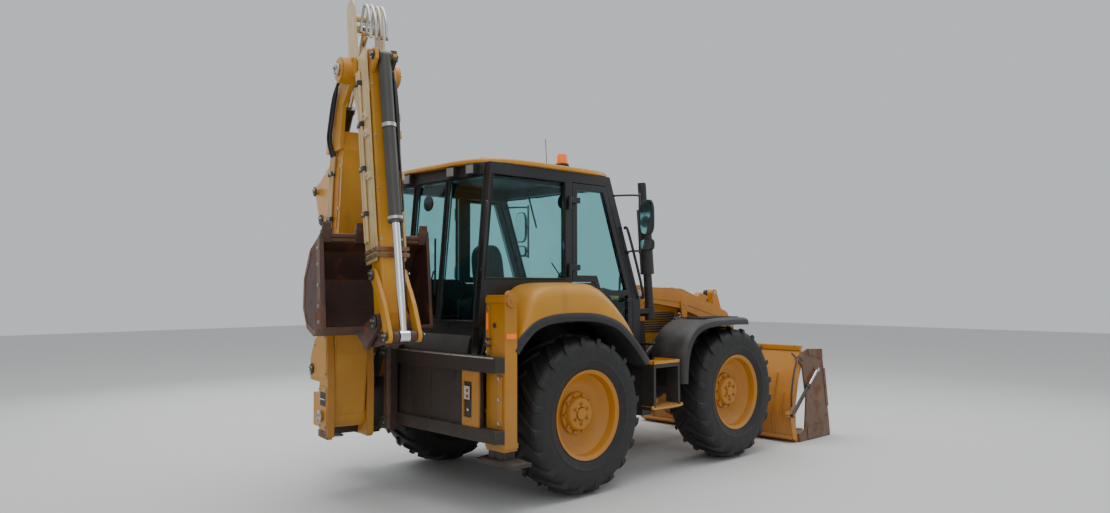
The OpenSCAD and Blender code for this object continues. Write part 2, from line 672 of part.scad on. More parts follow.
module loader_arms() color("#d9891b") from_axle() {
    mirrored() difference() {
        union() {
            strap(tower_pin, arm_top, 68, 105, arm_in, arm_out);
            strap(arm_top, arm_bend, 105, 92, arm_in, arm_out);
            strap(arm_bend, bucket_pin, 92, 62, arm_in, arm_out);
            across(cross_tube, cross_tube_r + 17, arm_in, arm_out);
            strap([2680, 1460], tilt_base, 80, 44, arm_in, arm_out);
            for (y = [arm_in - 15, arm_out]) strap([lift_eye.x, lift_eye.y + 120], lift_eye, 60, 44, y,
                y + 15);
        }
        across(tower_pin, tower_pin_r + run_gap, 0, 900);
        across(bucket_pin, bucket_pin_r + run_gap, 0, 900);
    }
    mirrored() across(tilt_base, tilt_pin_r, tilt_y - tilt_eye_w / 2 - 6, arm_in + 20);
    across(cross_tube, cross_tube_r, -arm_in, arm_in);
}

module lift_barrels() color("#26272a") from_axle() mirrored() translate([0, arm_y, 0])
    ram_barrel(lift_base, lift_eye, 940, lift_barrel_r, lift_rod_r, 42, ram_eye_w, lift_pin_r);
module lift_rods() color("#c9ccd0") from_axle() mirrored() translate([0, arm_y, 0])
    ram_rod(lift_base, lift_eye, 250, lift_rod_r, 42, ram_eye_w);
module tilt_barrels() color("#26272a") from_axle() mirrored() translate([0, tilt_y, 0])
    ram_barrel(tilt_base, tilt_eye, 760, 27, 18, 36, tilt_eye_w, tilt_pin_r);
module tilt_rods() color("#c9ccd0") from_axle() mirrored() translate([0, tilt_y, 0])
    ram_rod(tilt_base, tilt_eye, 200, 18, 34, tilt_eye_w);

clam_pin = [3500, 950];
clam_base = [3230, 330];
clam_eye = [3790, 800];
edge_tip_x = 4164;
back_outer = [[3420, 0], [3340, 50], [3290, 250], [3310, 480], [3400, 760], [3520, 1045]];
back_inner = [[3545, 1035], [3425, 752], [3335, 476], [3316, 255], [3362, 70], [3426, 26]];
end_t = 20;
bucket_end_y = bucket_half_w - 85;
clam_pin_r = 22;
back_end = [[3560, 1000], [3560, 900], [3470, 700], [3400, 420], [3400, 160], [3440, 26]];
module loader_bucket() color("#c9862a") from_axle() {
    difference() {
        union() {
            plate(concat(back_outer, back_inner), -bucket_end_y, bucket_end_y);
            mirrored() plate(concat(back_outer, back_end), bucket_end_y - end_t, bucket_end_y);
        }
        mirrored() across(clam_pin, clam_pin_r + run_gap, bucket_end_y - end_t - 5, bucket_half_w);
    }
    // Spill edge and ribs of the back
    plate([[3500, 1030], [3500, 1078], [3560, 1085], [3565, 1060], [3530, 1030]], -bucket_end_y,
        bucket_end_y);
    for (y = [-900, -300, 290, 890]) plate([[3330, 60], [3262, 240], [3280, 500], [3380, 780], [3420,
        760], [3320, 480],
        [3300, 250], [3350, 60]], y, y + 14);
    // Ears for the arms and the tilt rams
    mirrored() for (y = [arm_in - 17, arm_out + 5]) {
        strap(bucket_pin, [3330, 200], 56, 70, y, y + 12);
        strap(bucket_pin, [3350, 420], 56, 60, y, y + 12);
    }
    mirrored() for (y = [arm_in - 17, tilt_y - tilt_eye_w / 2 - 18]) strap(tilt_eye, [3350, 480], 44, 80,
        y, y + 12);
    mirrored() across(bucket_pin, bucket_pin_r, arm_in - 20, arm_out + 24);
    mirrored() across(clam_base, 16, bucket_end_y - end_t, bucket_half_w);
    mirrored() strap(clam_base, [3300, 330], 30, 40, bucket_end_y - end_t, bucket_end_y);
}

module bucket_clam() color("#6e4a33") from_axle() {
    half = bucket_half_w - 70;
    mirrored() {
        plate([[3470, 990], [3640, 1045], [3960, 1030], [4120, 160], [4140, 0], [3446, 0], [3446, 40],
            [3560, 120], [3600, 480],
            [3520, 860], [3455, 900]], half - 10, half + 10);
        across(clam_pin, 40, half - 10, half + 22);
        across(clam_pin, clam_pin_r, bucket_end_y - end_t - 4, half + 22);
        across(clam_eye, 14, half, bucket_half_w - 46);
    }
    plate([[3446, 0], [3446, 28], [3900, 30], [4140, 12], [4140, 0]], -half, half);
    plate([[3446, 0], [3446, 90], [3470, 90], [3500, 0]], -half, half);
    for (i = [0 : 7]) {
        y = -half + 70 + i * (2 * half - 220) / 7;
        block([4060, y, 0], [edge_tip_x, y + 80, 26]);
    }
}
clam_ram_y = bucket_half_w - 26;
module clam_barrels() color("#26272a") from_axle() mirrored() translate([0, clam_ram_y, 0])
    ram_barrel(clam_base, clam_eye, 480, 21, 14, 26, 36, 16);
module clam_rods() color("#c9ccd0") from_axle() mirrored() translate([0, clam_ram_y, 0])
    ram_rod(clam_base, clam_eye, 160, 14, 24, 36);

// Hoe, drawn in its own plane: X outward from the swing pins, Z up
cheek_in = 150;
cheek_out = 190;
lug_top = [870, 940];
lug_low = [500, 570];
boom_foot = [200, 680];
boom_foot_r = 34;
boom_base = [-60, 1060];
boom_eye = [-140, 2360];
stick_base = [-240, 2620];
nose = [690, 3500];
nose_pin_r = 42;
hoe_pin_r = 30;

module carriage() color("#4a3a2e") {
    from_axle() {
        back = rail_rear_x - slide_gap;
        block([back - carriage_t, king_y - 385, rail_low[0] - 40], [back, king_y + 385, rail_top[1] + 40]);
        block([back, king_y - 385, rail_top[1] + slide_gap], [back + 60, king_y + 385, rail_top[1] + 40]);
        block([back, king_y - 385, rail_low[0] - 40], [back + 60, king_y + 385, rail_low[0] - slide_gap]);
        for (z = [lug_top, lug_low]) translate([-king_back, king_y,
            z[0]]) linear_extrude(z[1] - z[0]) difference() {
            union() {
                circle(r = 75);
                polygon([[0, -75], [0, 75], [king_back + back, 130], [king_back + back, -130]]);
            }
            circle(r = swing_pin_r + run_gap);
        }
    }
}

module kingpost() color("#d9901f") from_king() {
    // Swing barrel between the lugs with its pins
    translate([0, 0, lug_low[1] + 2]) cylinder(h = lug_top[0] - lug_low[1] - 4, r = 85);
    translate([0, 0, lug_low[0] - 12]) cylinder(h = lug_top[1] - lug_low[0] + 24, r = swing_pin_r);
    // Cheeks
    for (side = [-1, 1]) {
        y_from = side > 0 ? cheek_in : -cheek_out;
        difference() {
            union() {
                plate([[110, lug_low[0]], [330, lug_low[0]], [340, 1000], [300, 1400], [200, 1440], [-40,
                    1300], [-140, 1150], [-140, 960],
                    [110, 960]], y_from, y_from + cheek_out - cheek_in);
                block([-50, side > 0 ? 60 : -cheek_out, lug_low[1] + 10], [80, side > 0 ? cheek_out : -60,
                    lug_top[0] - 10]);
                block([70, y_from, lug_low[1] + 10], [120, y_from + cheek_out - cheek_in, lug_top[0] - 10]);
            }
            across(boom_foot, 112, -cheek_in, cheek_in);
        }
    }
    across(boom_foot, boom_foot_r, -cheek_out - 14, cheek_out + 14);
    across(boom_base, hoe_pin_r, -cheek_in - 5, cheek_in + 5);
}

boom_box = [[100, 720], [95, 900], [70, 1200], [70, 2150], [100, 2600], [185, 2950], [235, 3060], [440,
    3060], [495, 2900], [450, 2500],
    [392, 2150], [360, 1500], [360, 1200], [325, 900], [300, 700]];
module boom() color("#d9901f") from_king() {
    difference() {
        union() {
            plate(boom_box, -boom_half_w, boom_half_w);
            across(boom_foot, 100, -cheek_in + 1, cheek_in - 1);
        }
        across(boom_foot, boom_foot_r + run_gap, -400, 400);
    }
    for (side = [-1, 1]) {
        ear = side > 0 ? 75 : -105;
        // Ears for the boom ram and the stick ram
        plate([[120, 2100], [-130, 2290], [-200, 2330], [-310, 2590], [-290, 2680], [-190, 2700], [160,
            2860], [190, 2800]],
            ear, ear + 30);
        across(boom_eye, 60, side > 0 ? 60 : -105, side > 0 ? 105 : -60);
        // Nose fork
        fork = side > 0 ? 132 : -164;
        difference() {
            union() {
                plate([[150, 2900], [192, 3156], [386, 3462], [600, 3620], [790, 3590], [800, 3440], [560,
                    3250], [495, 2900]],
                    fork, fork + 32);
                across(nose, 105, side > 0 ? 132 : -240, side > 0 ? 240 : -132);
                block([240, side > 0 ? 120 : -164, 2900], [470, side > 0 ? 164 : -120, 3050]);
            }
            across(nose, nose_pin_r + run_gap, -400, 400);
        }
    }
    across(stick_base, hoe_pin_r, -130, 130);
}
module boom_barrel() color("#2a2b2e") from_king()
    ram_barrel(boom_base, boom_eye, 1130, 54, 34, 58, 110, hoe_pin_r);
module boom_rod() color("#c9ccd0") from_king()
    ram_rod(boom_base, boom_eye, 250, 34, 55, 100);
module stick_barrel() color("#2a2b2e") from_king()
    ram_barrel(stick_base, stick_tail, 840, 54, 32, 56, 110, hoe_pin_r);
module stick_rod() color("#c9ccd0") from_king()
    ram_rod(stick_base, stick_tail, 700, 32, 50, 90);

// The stick's own directions: down along it, and outward from it
stick_lean = 9.3;
stick_down = [sin(stick_lean), -cos(stick_lean)];
stick_side = [cos(stick_lean), sin(stick_lean)];
function on_stick(s, t) = nose + s * stick_down + t * stick_side;
stick_tail = on_stick(-380, 0);
stick_top = on_stick(-540, 0);
slider_near = 100;
slider_far = 280;
slider_half_w = 95;
channel_t = 20;
channel_in = slider_half_w + move_gap;
channel_out = channel_in + channel_t;
hoe_pin = on_stick(2058, 190);
crank_pin = on_stick(1700, 190);
link_eye = on_stick(2190, 400);
bucket_eye = on_stick(2188, -35);
ram_base = on_stick(-10, 350);

module stick() color("#dcc79a") from_king() {
    for (side = [-1, 1]) {
        y_from = side > 0 ? channel_in : -channel_out;
        plate([on_stick(-60, -80), on_stick(-60, 110), on_stick(-100, 270), on_stick(1560, 270),
            on_stick(1600, 240),
            on_stick(1600, 60), on_stick(400, 60), on_stick(80, -70)], y_from, y_from + channel_t);
        strap(nose, stick_top, 90, 78, y_from, y_from + channel_t);
        across(stick_tail, hoe_pin_r, side > 0 ? 48 : -channel_out, side > 0 ? channel_out : -48);
    }
    plate([on_stick(60, 66), on_stick(60, 90), on_stick(1590, 90), on_stick(1590, 66)], -channel_in,
        channel_in);
    across(nose, 76, -channel_out, channel_out);
    across(on_stick(-452, 46), 28, -channel_out, channel_out);
    across(nose, nose_pin_r, -255, 255);
    for (side = [-1, 1]) for (s = [150, 1450])
        plate([on_stick(s, 120), on_stick(s, 260), on_stick(s + 100, 260), on_stick(s + 100, 120)],
            side > 0 ? slider_half_w + seat_gap : -channel_in,
                side > 0 ? channel_in : -slider_half_w - seat_gap);
}

module stick_slider() color("#d9901f") from_king() {
    difference() {
        union() {
            plate([on_stick(-90, slider_near), on_stick(-90, slider_far), on_stick(2000, slider_far),
                on_stick(2060, 262),
                on_stick(2060, 118), on_stick(2000, slider_near)], -slider_half_w, slider_half_w);
            across(hoe_pin, 72, -slider_half_w, slider_half_w);
        }
        across(hoe_pin, hoe_pin_r + run_gap, -400, 400);
        across(crank_pin, hoe_pin_r + run_gap, -400, 400);
    }
    for (y = [-90, 60]) strap(on_stick(10, 240), ram_base, 70, 44, y, y + 30);
    across(ram_base, 24, -80, 80);
}
module hoe_barrel() color("#55585c") from_king()
    ram_barrel(ram_base, link_eye, 1340, 50, 30, 44, 100, 24);
module hoe_rod() color("#c9ccd0") from_king()
    ram_rod(ram_base, link_eye, 640, 30, 44, 76);

// Curved side links: two arcs of straps from the stick to the ram's eye
module side_links() color("#d9901f") from_king() {
    for (side = [-1, 1]) {
        y_from = side > 0 ? slider_half_w + 5 : -slider_half_w - 35;
        difference() {
            union() {
                strap(crank_pin, on_stick(1960, 330), 50, 40, y_from, y_from + 30);
                strap(on_stick(1960, 330), link_eye, 40, 46, y_from, y_from + 30);
            }
            across(link_eye, 22 + run_gap, -400, 400);
        }
    }
    across(crank_pin, hoe_pin_r, -slider_half_w - 40, slider_half_w + 40);
}

module power_link() color("#6a4632") from_king() {
    for (side = [-1, 1]) {
        y_from = side > 0 ? 46 : -90;
        strap(link_eye, bucket_eye, 40, 36, y_from, y_from + 44);
    }
    for (side = [-1, 1]) across(link_eye, 22, side > 0 ? 46 : -140, side > 0 ? 140 : -46);
    across(on_stick(2189, 180), 18, -60, 60);
}

bucket_shell = [[900, 2170], [660, 2060], [500, 1830], [485, 1590], [590, 1440], [760, 1385], [985, 1440]];
function shell_in(p) = let (c = [980, 1700], d = c - p) p + 22 * d / norm(d);
module hoe_bucket() color("#3b2a25") from_king() {
    plate(concat(bucket_shell, [for (i = [len(bucket_shell) - 1 : -1 : 0]) shell_in(bucket_shell[i])]),
        -hoe_half_w, hoe_half_w);
    for (y = [-hoe_half_w, hoe_half_w - 25]) plate(bucket_shell, y, y + 25);
    // Ears for the stick's pin and the link's eye
    for (side = [-1, 1]) {
        y_from = side > 0 ? slider_half_w + 5 : -slider_half_w - 35;
        plate([[820, 1392], bucket_eye + [-50, -14], bucket_eye + [4, -52], hoe_pin + [34, -52],
            hoe_pin + [0, 62],
            [985, 1476], [850, 1440]], y_from, y_from + 30);
        across(hoe_pin, 62, y_from, y_from + 30);
        across(bucket_eye, 52, y_from, y_from + 30);
    }
    across(hoe_pin, hoe_pin_r, -slider_half_w - 40, slider_half_w + 40);
    // Teeth
    for (i = [0 : tooth_count - 1]) {
        y = -hoe_half_w + 50 + i * (2 * hoe_half_w - 100) / (tooth_count - 1);
        plate([[850, 2120], [880, 2110], [912, 2180], [905, 2262], [890, 2262], [868, 2190]], y - 32,
            y + 32);
    }
}

main_frame();
engine_block();
axles();
cab_frame();
cab_roof();
cab_glass();
cab_interior();
seat_cushions();
wheel_guards();
side_boxes();
exhaust_stack();
rear_rails();
leg_housings();
grille();
bumper();
lamps();
mirrors();
hood();
door_left();
door_right();
door_glass_left();
door_glass_right();
knuckle_front_left();
knuckle_front_right();
knuckle_rear_left();
knuckle_rear_right();
rim_front_left();
rim_front_right();
rim_rear_left();
rim_rear_right();
tyre_front_left();
tyre_front_right();
tyre_rear_left();
tyre_rear_right();
loader_arms();
lift_barrels();
lift_rods();
tilt_barrels();
tilt_rods();
loader_bucket();
bucket_clam();
clam_barrels();
clam_rods();
leg_left();
leg_right();
carriage();
kingpost();
boom();
boom_barrel();
boom_rod();
stick();
stick_barrel();
stick_rod();
stick_slider();
hoe_barrel();
hoe_rod();
side_links();
power_link();
hoe_bucket();
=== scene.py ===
import bmesh
import bpy
import math
import random
from mathutils import Matrix, Vector


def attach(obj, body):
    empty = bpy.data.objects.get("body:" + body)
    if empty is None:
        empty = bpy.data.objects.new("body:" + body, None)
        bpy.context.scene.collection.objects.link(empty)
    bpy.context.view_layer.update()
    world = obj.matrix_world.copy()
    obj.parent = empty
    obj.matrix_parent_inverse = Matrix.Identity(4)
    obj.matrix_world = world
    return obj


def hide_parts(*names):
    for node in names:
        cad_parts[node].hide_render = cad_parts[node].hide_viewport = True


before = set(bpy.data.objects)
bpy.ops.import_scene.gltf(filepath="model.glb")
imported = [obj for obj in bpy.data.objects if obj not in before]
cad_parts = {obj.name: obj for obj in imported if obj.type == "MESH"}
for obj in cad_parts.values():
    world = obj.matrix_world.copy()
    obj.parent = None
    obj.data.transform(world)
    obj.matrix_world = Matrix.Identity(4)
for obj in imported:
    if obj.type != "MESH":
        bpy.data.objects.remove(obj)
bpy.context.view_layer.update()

machine = {"rearAxle": -1.065, "wheelbase": 2.2, "track": 1.895, "axleHeight": 0.68, "kingBack": 1.42,
           "kingSide": 0.55, "swingRest": 80}
hoePlace = Matrix.Translation((machine["rearAxle"] - machine["kingBack"], machine["kingSide"], 0)) @ \
    Matrix.Rotation(math.radians(180 + machine["swingRest"]), 4, "Z")
axlePlace = Matrix.Translation((machine["rearAxle"], 0, 0))


# Camera, floor and light
def makeCamera():
    view = {"back": -5.02, "side": -5.96, "height": 1.76, "yaw": 46.2, "pitch": 2.15, "roll": -0.1,
            "focalPixels": 818, "imageWidth": 1110}
    data = bpy.data.cameras.new("photoCamera")
    data.sensor_width = 36
    data.lens = view["focalPixels"] / view["imageWidth"] * 36
    data.clip_end = 200
    camera = bpy.data.objects.new("photoCamera", data)
    yaw, pitch = math.radians(view["yaw"]), math.radians(view["pitch"])
    forward = Vector((math.cos(yaw) * math.cos(pitch), math.sin(yaw) * math.cos(pitch), math.sin(pitch)))
    camera.rotation_euler = (forward.to_track_quat("-Z", "Y").to_matrix() @
                             Matrix.Rotation(math.radians(view["roll"]), 3, "Z")).to_euler()
    camera.location = (machine["rearAxle"] + view["back"], view["side"], view["height"])
    bpy.context.collection.objects.link(camera)
    bpy.context.scene.camera = camera


def makeStudio():
    studio = {"floorSize": 60, "floorColor": (0.62, 0.62, 0.60, 1), "skyColor": (0.80, 0.84, 0.88, 1),
              "skyPower": 0.75}
    mesh = bpy.data.meshes.new("floor")
    half = studio["floorSize"] / 2
    mesh.from_pydata([(-half, -half, 0), (half, -half, 0), (half, half, 0), (-half, half, 0)], [],
                     [(0, 1, 2, 3)])
    floor = bpy.data.objects.new("floor", mesh)
    bpy.context.collection.objects.link(floor)
    material = bpy.data.materials.new("paleFloor")
    material.use_nodes = True
    shader = material.node_tree.nodes["Principled BSDF"]
    shader.inputs["Base Color"].default_value = studio["floorColor"]
    shader.inputs["Roughness"].default_value = 0.8
    mesh.materials.append(material)
    world = bpy.data.worlds.new("softSky")
    world.use_nodes = True
    world.node_tree.nodes["Background"].inputs[0].default_value = studio["skyColor"]
    world.node_tree.nodes["Background"].inputs[1].default_value = studio["skyPower"]
    bpy.context.scene.world = world
    for name, spot, size, power in [("topLight", (-1, 0, 10), 9, 760), ("sideLight", (-7, -7, 6), 6, 110),
                                    ("frontLight", (7, -3, 6), 5, 130), ("leftLight", (-1, 8, 5), 5, 150)]:
        data = bpy.data.lights.new(name, "AREA")
        data.size, data.energy = size, power
        light = bpy.data.objects.new(name, data)
        light.location = spot
        light.rotation_euler = (Vector((-0.5, 0, 1.4)) - Vector(spot)).to_track_quat("-Z", "Y").to_euler()
        bpy.context.collection.objects.link(light)


makeCamera()
makeStudio()
print("camera and studio ready")


# Shader node groups
def newGroup(name, inputs, outputs):
    group = bpy.data.node_groups.new(name, "ShaderNodeTree")
    for title, kind, value in inputs:
        socket = group.interface.new_socket(title, in_out="INPUT", socket_type="NodeSocket" + kind)
        if value is not None:
            socket.default_value = value
    for title, kind in outputs:
        group.interface.new_socket(title, in_out="OUTPUT", socket_type="NodeSocket" + kind)
    entry, leave = group.nodes.new("NodeGroupInput"), group.nodes.new("NodeGroupOutput")
    return group, entry, leave


# Puts a plain value or another node's output into a socket
def wire(node, socket, value):
    if isinstance(value, (int, float, tuple)):
        node.inputs[socket].default_value = value
    else:
        node.id_data.links.new(value, node.inputs[socket])


def addNode(tree, kind, settings=None, **values):
    node = tree.nodes.new("ShaderNode" + kind)
    for key, value in (settings or {}).items():
        setattr(node, key, value)
    for key, value in values.items():
        node.inputs[key].default_value = value
    return node


def mathNode(tree, operation, first, second, clamp=False):
    node = tree.nodes.new("ShaderNodeMath")
    node.operation, node.use_clamp = operation, clamp
    wire(node, 0, first)
    wire(node, 1, second)
    return node.outputs[0]


def mixNode(tree, factor, first, second, blend="MIX"):
    node = tree.nodes.new("ShaderNodeMix")
    node.data_type, node.blend_type = "RGBA", blend
    for index, value in ((0, factor), (6, first), (7, second)):
        wire(node, index, value)
    return node.outputs[2]


def rampNode(tree, value, low, high):
    node = addNode(tree, "MapRange", {"clamp": True})
    wire(node, 0, value)
    node.inputs[1].default_value, node.inputs[2].default_value = low, high
    return node.outputs[0]


def noiseNode(tree, vector, scale, detail=3.0, rough=0.55):
    node = addNode(tree, "TexNoise")
    wire(node, "Vector", vector)
    for key, value in (("Scale", scale), ("Detail", detail), ("Roughness", rough)):
        wire(node, key, value)
    return node.outputs["Fac"]


def makeEdgeWear():
    group, entry, leave = newGroup("edgeWear", [("Vector", "Vector", None), ("Width", "Float", 0.006),
                                                ("Amount", "Float", 0.6), ("Scale", "Float", 14.0)],
                                   [("Mask", "Float"), ("Normal", "Vector")])
    bevel = addNode(group, "Bevel", {"samples": 4})
    wire(bevel, "Radius", entry.outputs["Width"])
    geometry = addNode(group, "NewGeometry")
    dot = addNode(group, "VectorMath", {"operation": "DOT_PRODUCT"})
    wire(dot, 0, bevel.outputs[0])
    wire(dot, 1, geometry.outputs["Normal"])
    turned = mathNode(group, "SUBTRACT", 1.0, dot.outputs["Value"])
    patches = noiseNode(group, entry.outputs["Vector"], entry.outputs["Scale"], 4.0, 0.65)
    edge = mathNode(group, "MULTIPLY", turned, 9.0, True)
    worn = mathNode(group, "MULTIPLY", edge, rampNode(group, patches, 0.42, 0.58))
    wire(leave, "Mask", mathNode(group, "MULTIPLY", worn, entry.outputs["Amount"], True))
    wire(leave, "Normal", bevel.outputs[0])
    return group


def makeDustFall():
    group, entry, leave = newGroup("dustFall", [("Vector", "Vector", None), ("Reach", "Float", 1.2),
                                                ("Amount", "Float", 0.5), ("Scale", "Float", 5.0)],
                                   [("Mask", "Float")])
    split = addNode(group, "SeparateXYZ")
    wire(split, 0, entry.outputs["Vector"])
    geometry = addNode(group, "NewGeometry")
    facing = addNode(group, "SeparateXYZ")
    wire(facing, 0, geometry.outputs["Normal"])
    low = mathNode(group, "SUBTRACT", 1.0,
                   mathNode(group, "DIVIDE", split.outputs[2], entry.outputs["Reach"]), True)
    upward = mathNode(group, "MULTIPLY", facing.outputs[2], 0.55, True)
    both = mathNode(group, "ADD", low, upward, True)
    cloud = noiseNode(group, entry.outputs["Vector"], entry.outputs["Scale"], 5.0, 0.6)
    mask = mathNode(group, "MULTIPLY", both, rampNode(group, cloud, 0.25, 0.75))
    wire(leave, "Mask", mathNode(group, "MULTIPLY", mask, entry.outputs["Amount"], True))
    return group


def makeStreaks():
    group, entry, leave = newGroup("grimeStreaks", [("Vector", "Vector", None), ("Amount", "Float", 0.4),
                                                    ("Scale", "Float", 7.0)], [("Mask", "Float")])
    squeeze = addNode(group, "VectorMath", {"operation": "MULTIPLY"})
    squeeze.inputs[1].default_value = (1, 1, 0.13)
    wire(squeeze, 0, entry.outputs["Vector"])
    fine = noiseNode(group, squeeze.outputs[0], entry.outputs["Scale"], 4.0, 0.6)
    broad = noiseNode(group, entry.outputs["Vector"], 1.3, 3.0)
    mask = mathNode(group, "MULTIPLY", rampNode(group, fine, 0.52, 0.78), rampNode(group, broad, 0.35, 0.65))
    wire(leave, "Mask", mathNode(group, "MULTIPLY", mask, entry.outputs["Amount"], True))
    return group


def makeRust():
    group, entry, leave = newGroup("rustBloom", [("Vector", "Vector", None), ("Amount", "Float", 0.4),
                                                 ("Scale", "Float", 6.0)],
                                   [("Mask", "Float"), ("Color", "Color"), ("Height", "Float")])
    blotch = noiseNode(group, entry.outputs["Vector"], entry.outputs["Scale"], 6.0, 0.62)
    fine = noiseNode(group, entry.outputs["Vector"], 90.0, 3.0, 0.7)
    limit = mathNode(group, "SUBTRACT", 0.80, mathNode(group, "MULTIPLY", entry.outputs["Amount"], 0.5))
    over = mathNode(group, "MULTIPLY", mathNode(group, "SUBTRACT", blotch, limit), 9.0, True)
    color = mixNode(group, fine, (0.045, 0.018, 0.010, 1), (0.26, 0.085, 0.028, 1))
    wire(leave, "Mask", over)
    wire(leave, "Color", color)
    wire(leave, "Height", mathNode(group, "MULTIPLY", fine, over))
    return group


edgeWear, dustFall, grimeStreaks, rustBloom = makeEdgeWear(), makeDustFall(), makeStreaks(), makeRust()
materials = {}


def useGroup(tree, group, vector, **values):
    node = tree.nodes.new("ShaderNodeGroup")
    node.node_tree = group
    wire(node, "Vector", vector)
    for key, value in values.items():
        node.inputs[key].default_value = value
    return node


def startMaterial(name, **sockets):
    material = bpy.data.materials.new(name)
    material.use_nodes = True
    tree = material.node_tree
    shader = tree.nodes["Principled BSDF"]
    for key, value in sockets.items():
        shader.inputs[key].default_value = value
    vector = addNode(tree, "TexCoord").outputs["Object"]
    materials[name] = material
    return tree, shader, vector


def addRelief(tree, shader, height, strength, distance, normal=None):
    bump = addNode(tree, "Bump", Strength=strength, Distance=distance)
    wire(bump, "Height", height)
    if normal:
        wire(bump, "Normal", normal)
    wire(shader, "Normal", bump.outputs[0])


def paintedSteel(name, color, fade=None, rough=0.42, wear=0.5, wearColor=(0.10, 0.085, 0.075, 1),
                 wearWidth=0.006, dust=0.45, dustReach=1.1, dustColor=(0.20, 0.165, 0.125, 1), streaks=0.35,
                 rust=0.25, bump=0.12, metallic=0.0, grain=160.0):
    tree, shader, vector = startMaterial(name, Metallic=metallic)
    fade = fade or tuple(min(1.0, c * 1.25 + 0.02) for c in color[:3]) + (1,)
    tone = mixNode(tree, rampNode(tree, noiseNode(tree, vector, 1.7, 5.0, 0.6), 0.3, 0.7), color, fade)
    grime = useGroup(tree, grimeStreaks, vector, Amount=streaks)
    tone = mixNode(tree, grime.outputs["Mask"], tone, (0.075, 0.060, 0.045, 1))
    patches = useGroup(tree, rustBloom, vector, Amount=rust)
    tone = mixNode(tree, patches.outputs["Mask"], tone, patches.outputs["Color"])
    edges = useGroup(tree, edgeWear, vector, Amount=wear, Width=wearWidth)
    tone = mixNode(tree, edges.outputs["Mask"], tone, wearColor)
    fallen = useGroup(tree, dustFall, vector, Amount=dust, Reach=dustReach)
    tone = mixNode(tree, fallen.outputs["Mask"], tone, dustColor)
    wire(shader, "Base Color", tone)
    dull = mathNode(tree, "ADD", fallen.outputs["Mask"], patches.outputs["Mask"], True)
    spread = mathNode(tree, "MULTIPLY", noiseNode(tree, vector, 9.0, 4.0), 0.22)
    level = mathNode(tree, "ADD", spread, rough - 0.11)
    wire(shader, "Roughness", mathNode(tree, "ADD", level, mathNode(tree, "MULTIPLY", dull, 0.35), True))
    pits = mathNode(tree, "ADD", patches.outputs["Height"],
                    mathNode(tree, "MULTIPLY", edges.outputs["Mask"], -0.6))
    relief = mathNode(tree, "ADD", mathNode(tree, "MULTIPLY", noiseNode(tree, vector, grain, 2.0), 0.4), pits)
    addRelief(tree, shader, relief, bump, 0.004, edges.outputs["Normal"])


def plainPlastic(name, color, rough=0.5, grain=300.0, bump=0.15, dust=0.3, dustReach=1.6):
    tree, shader, vector = startMaterial(name)
    fallen = useGroup(tree, dustFall, vector, Amount=dust, Reach=dustReach, Scale=8.0)
    brighter = tuple(min(1.0, c * 1.5 + 0.006) for c in color[:3]) + (1,)
    tone = mixNode(tree, rampNode(tree, noiseNode(tree, vector, 3.0, 4.0), 0.35, 0.7), color, brighter)
    tone = mixNode(tree, fallen.outputs["Mask"], tone, (0.24, 0.21, 0.18, 1))
    wire(shader, "Base Color", tone)
    spread = mathNode(tree, "MULTIPLY", noiseNode(tree, vector, 12.0, 3.0), 0.2)
    dull = mathNode(tree, "MULTIPLY", fallen.outputs["Mask"], 0.3)
    wire(shader, "Roughness", mathNode(tree, "ADD", mathNode(tree, "ADD", spread, rough - 0.1), dull, True))
    addRelief(tree, shader, noiseNode(tree, vector, grain, 2.0), bump, 0.002)


def brightMetal(name, color, rough=0.16, scratch=0.12, tarnish=0.2):
    tree, shader, vector = startMaterial(name, Metallic=1.0)
    marks = noiseNode(tree, vector, 60.0, 4.0, 0.7)
    stain = useGroup(tree, rustBloom, vector, Amount=tarnish, Scale=9.0)
    tone = mixNode(tree, mathNode(tree, "MULTIPLY", stain.outputs["Mask"], 0.6), color,
                   stain.outputs["Color"])
    wire(shader, "Base Color", tone)
    dull = mathNode(tree, "ADD", mathNode(tree, "MULTIPLY", stain.outputs["Mask"], 0.4), rough - scratch / 2)
    wire(shader, "Roughness", mathNode(tree, "ADD", mathNode(tree, "MULTIPLY", marks, scratch), dull, True))


def tintedGlass(name, color):
    tree, shader, vector = startMaterial(name, Metallic=0.0, IOR=1.3)
    shader.inputs["Transmission Weight"].default_value = 1.0
    film = useGroup(tree, dustFall, vector, Amount=0.10, Reach=1.0, Scale=2.0)
    wire(shader, "Base Color", mixNode(tree, film.outputs["Mask"], color, (0.5, 0.5, 0.46, 1)))
    wire(shader, "Roughness", mathNode(tree, "MULTIPLY", noiseNode(tree, vector, 3.0, 4.0), 0.06))


def tyreRubber():
    tree, shader, vector = startMaterial("tyreRubber")
    mud = useGroup(tree, dustFall, vector, Amount=0.45, Reach=1.5, Scale=9.0)
    tone = mixNode(tree, noiseNode(tree, vector, 12.0, 5.0), (0.007, 0.007, 0.0075, 1),
                   (0.018, 0.0175, 0.017, 1))
    tone = mixNode(tree, mathNode(tree, "MULTIPLY", mud.outputs["Mask"], 0.35), tone,
                   (0.085, 0.072, 0.058, 1))
    wire(shader, "Base Color", tone)
    spread = mathNode(tree, "MULTIPLY", noiseNode(tree, vector, 20.0, 3.0), 0.25)
    wire(shader, "Roughness", mathNode(tree, "ADD", spread, 0.5))
    addRelief(tree, shader, noiseNode(tree, vector, 70.0, 5.0, 0.7), 0.35, 0.003)


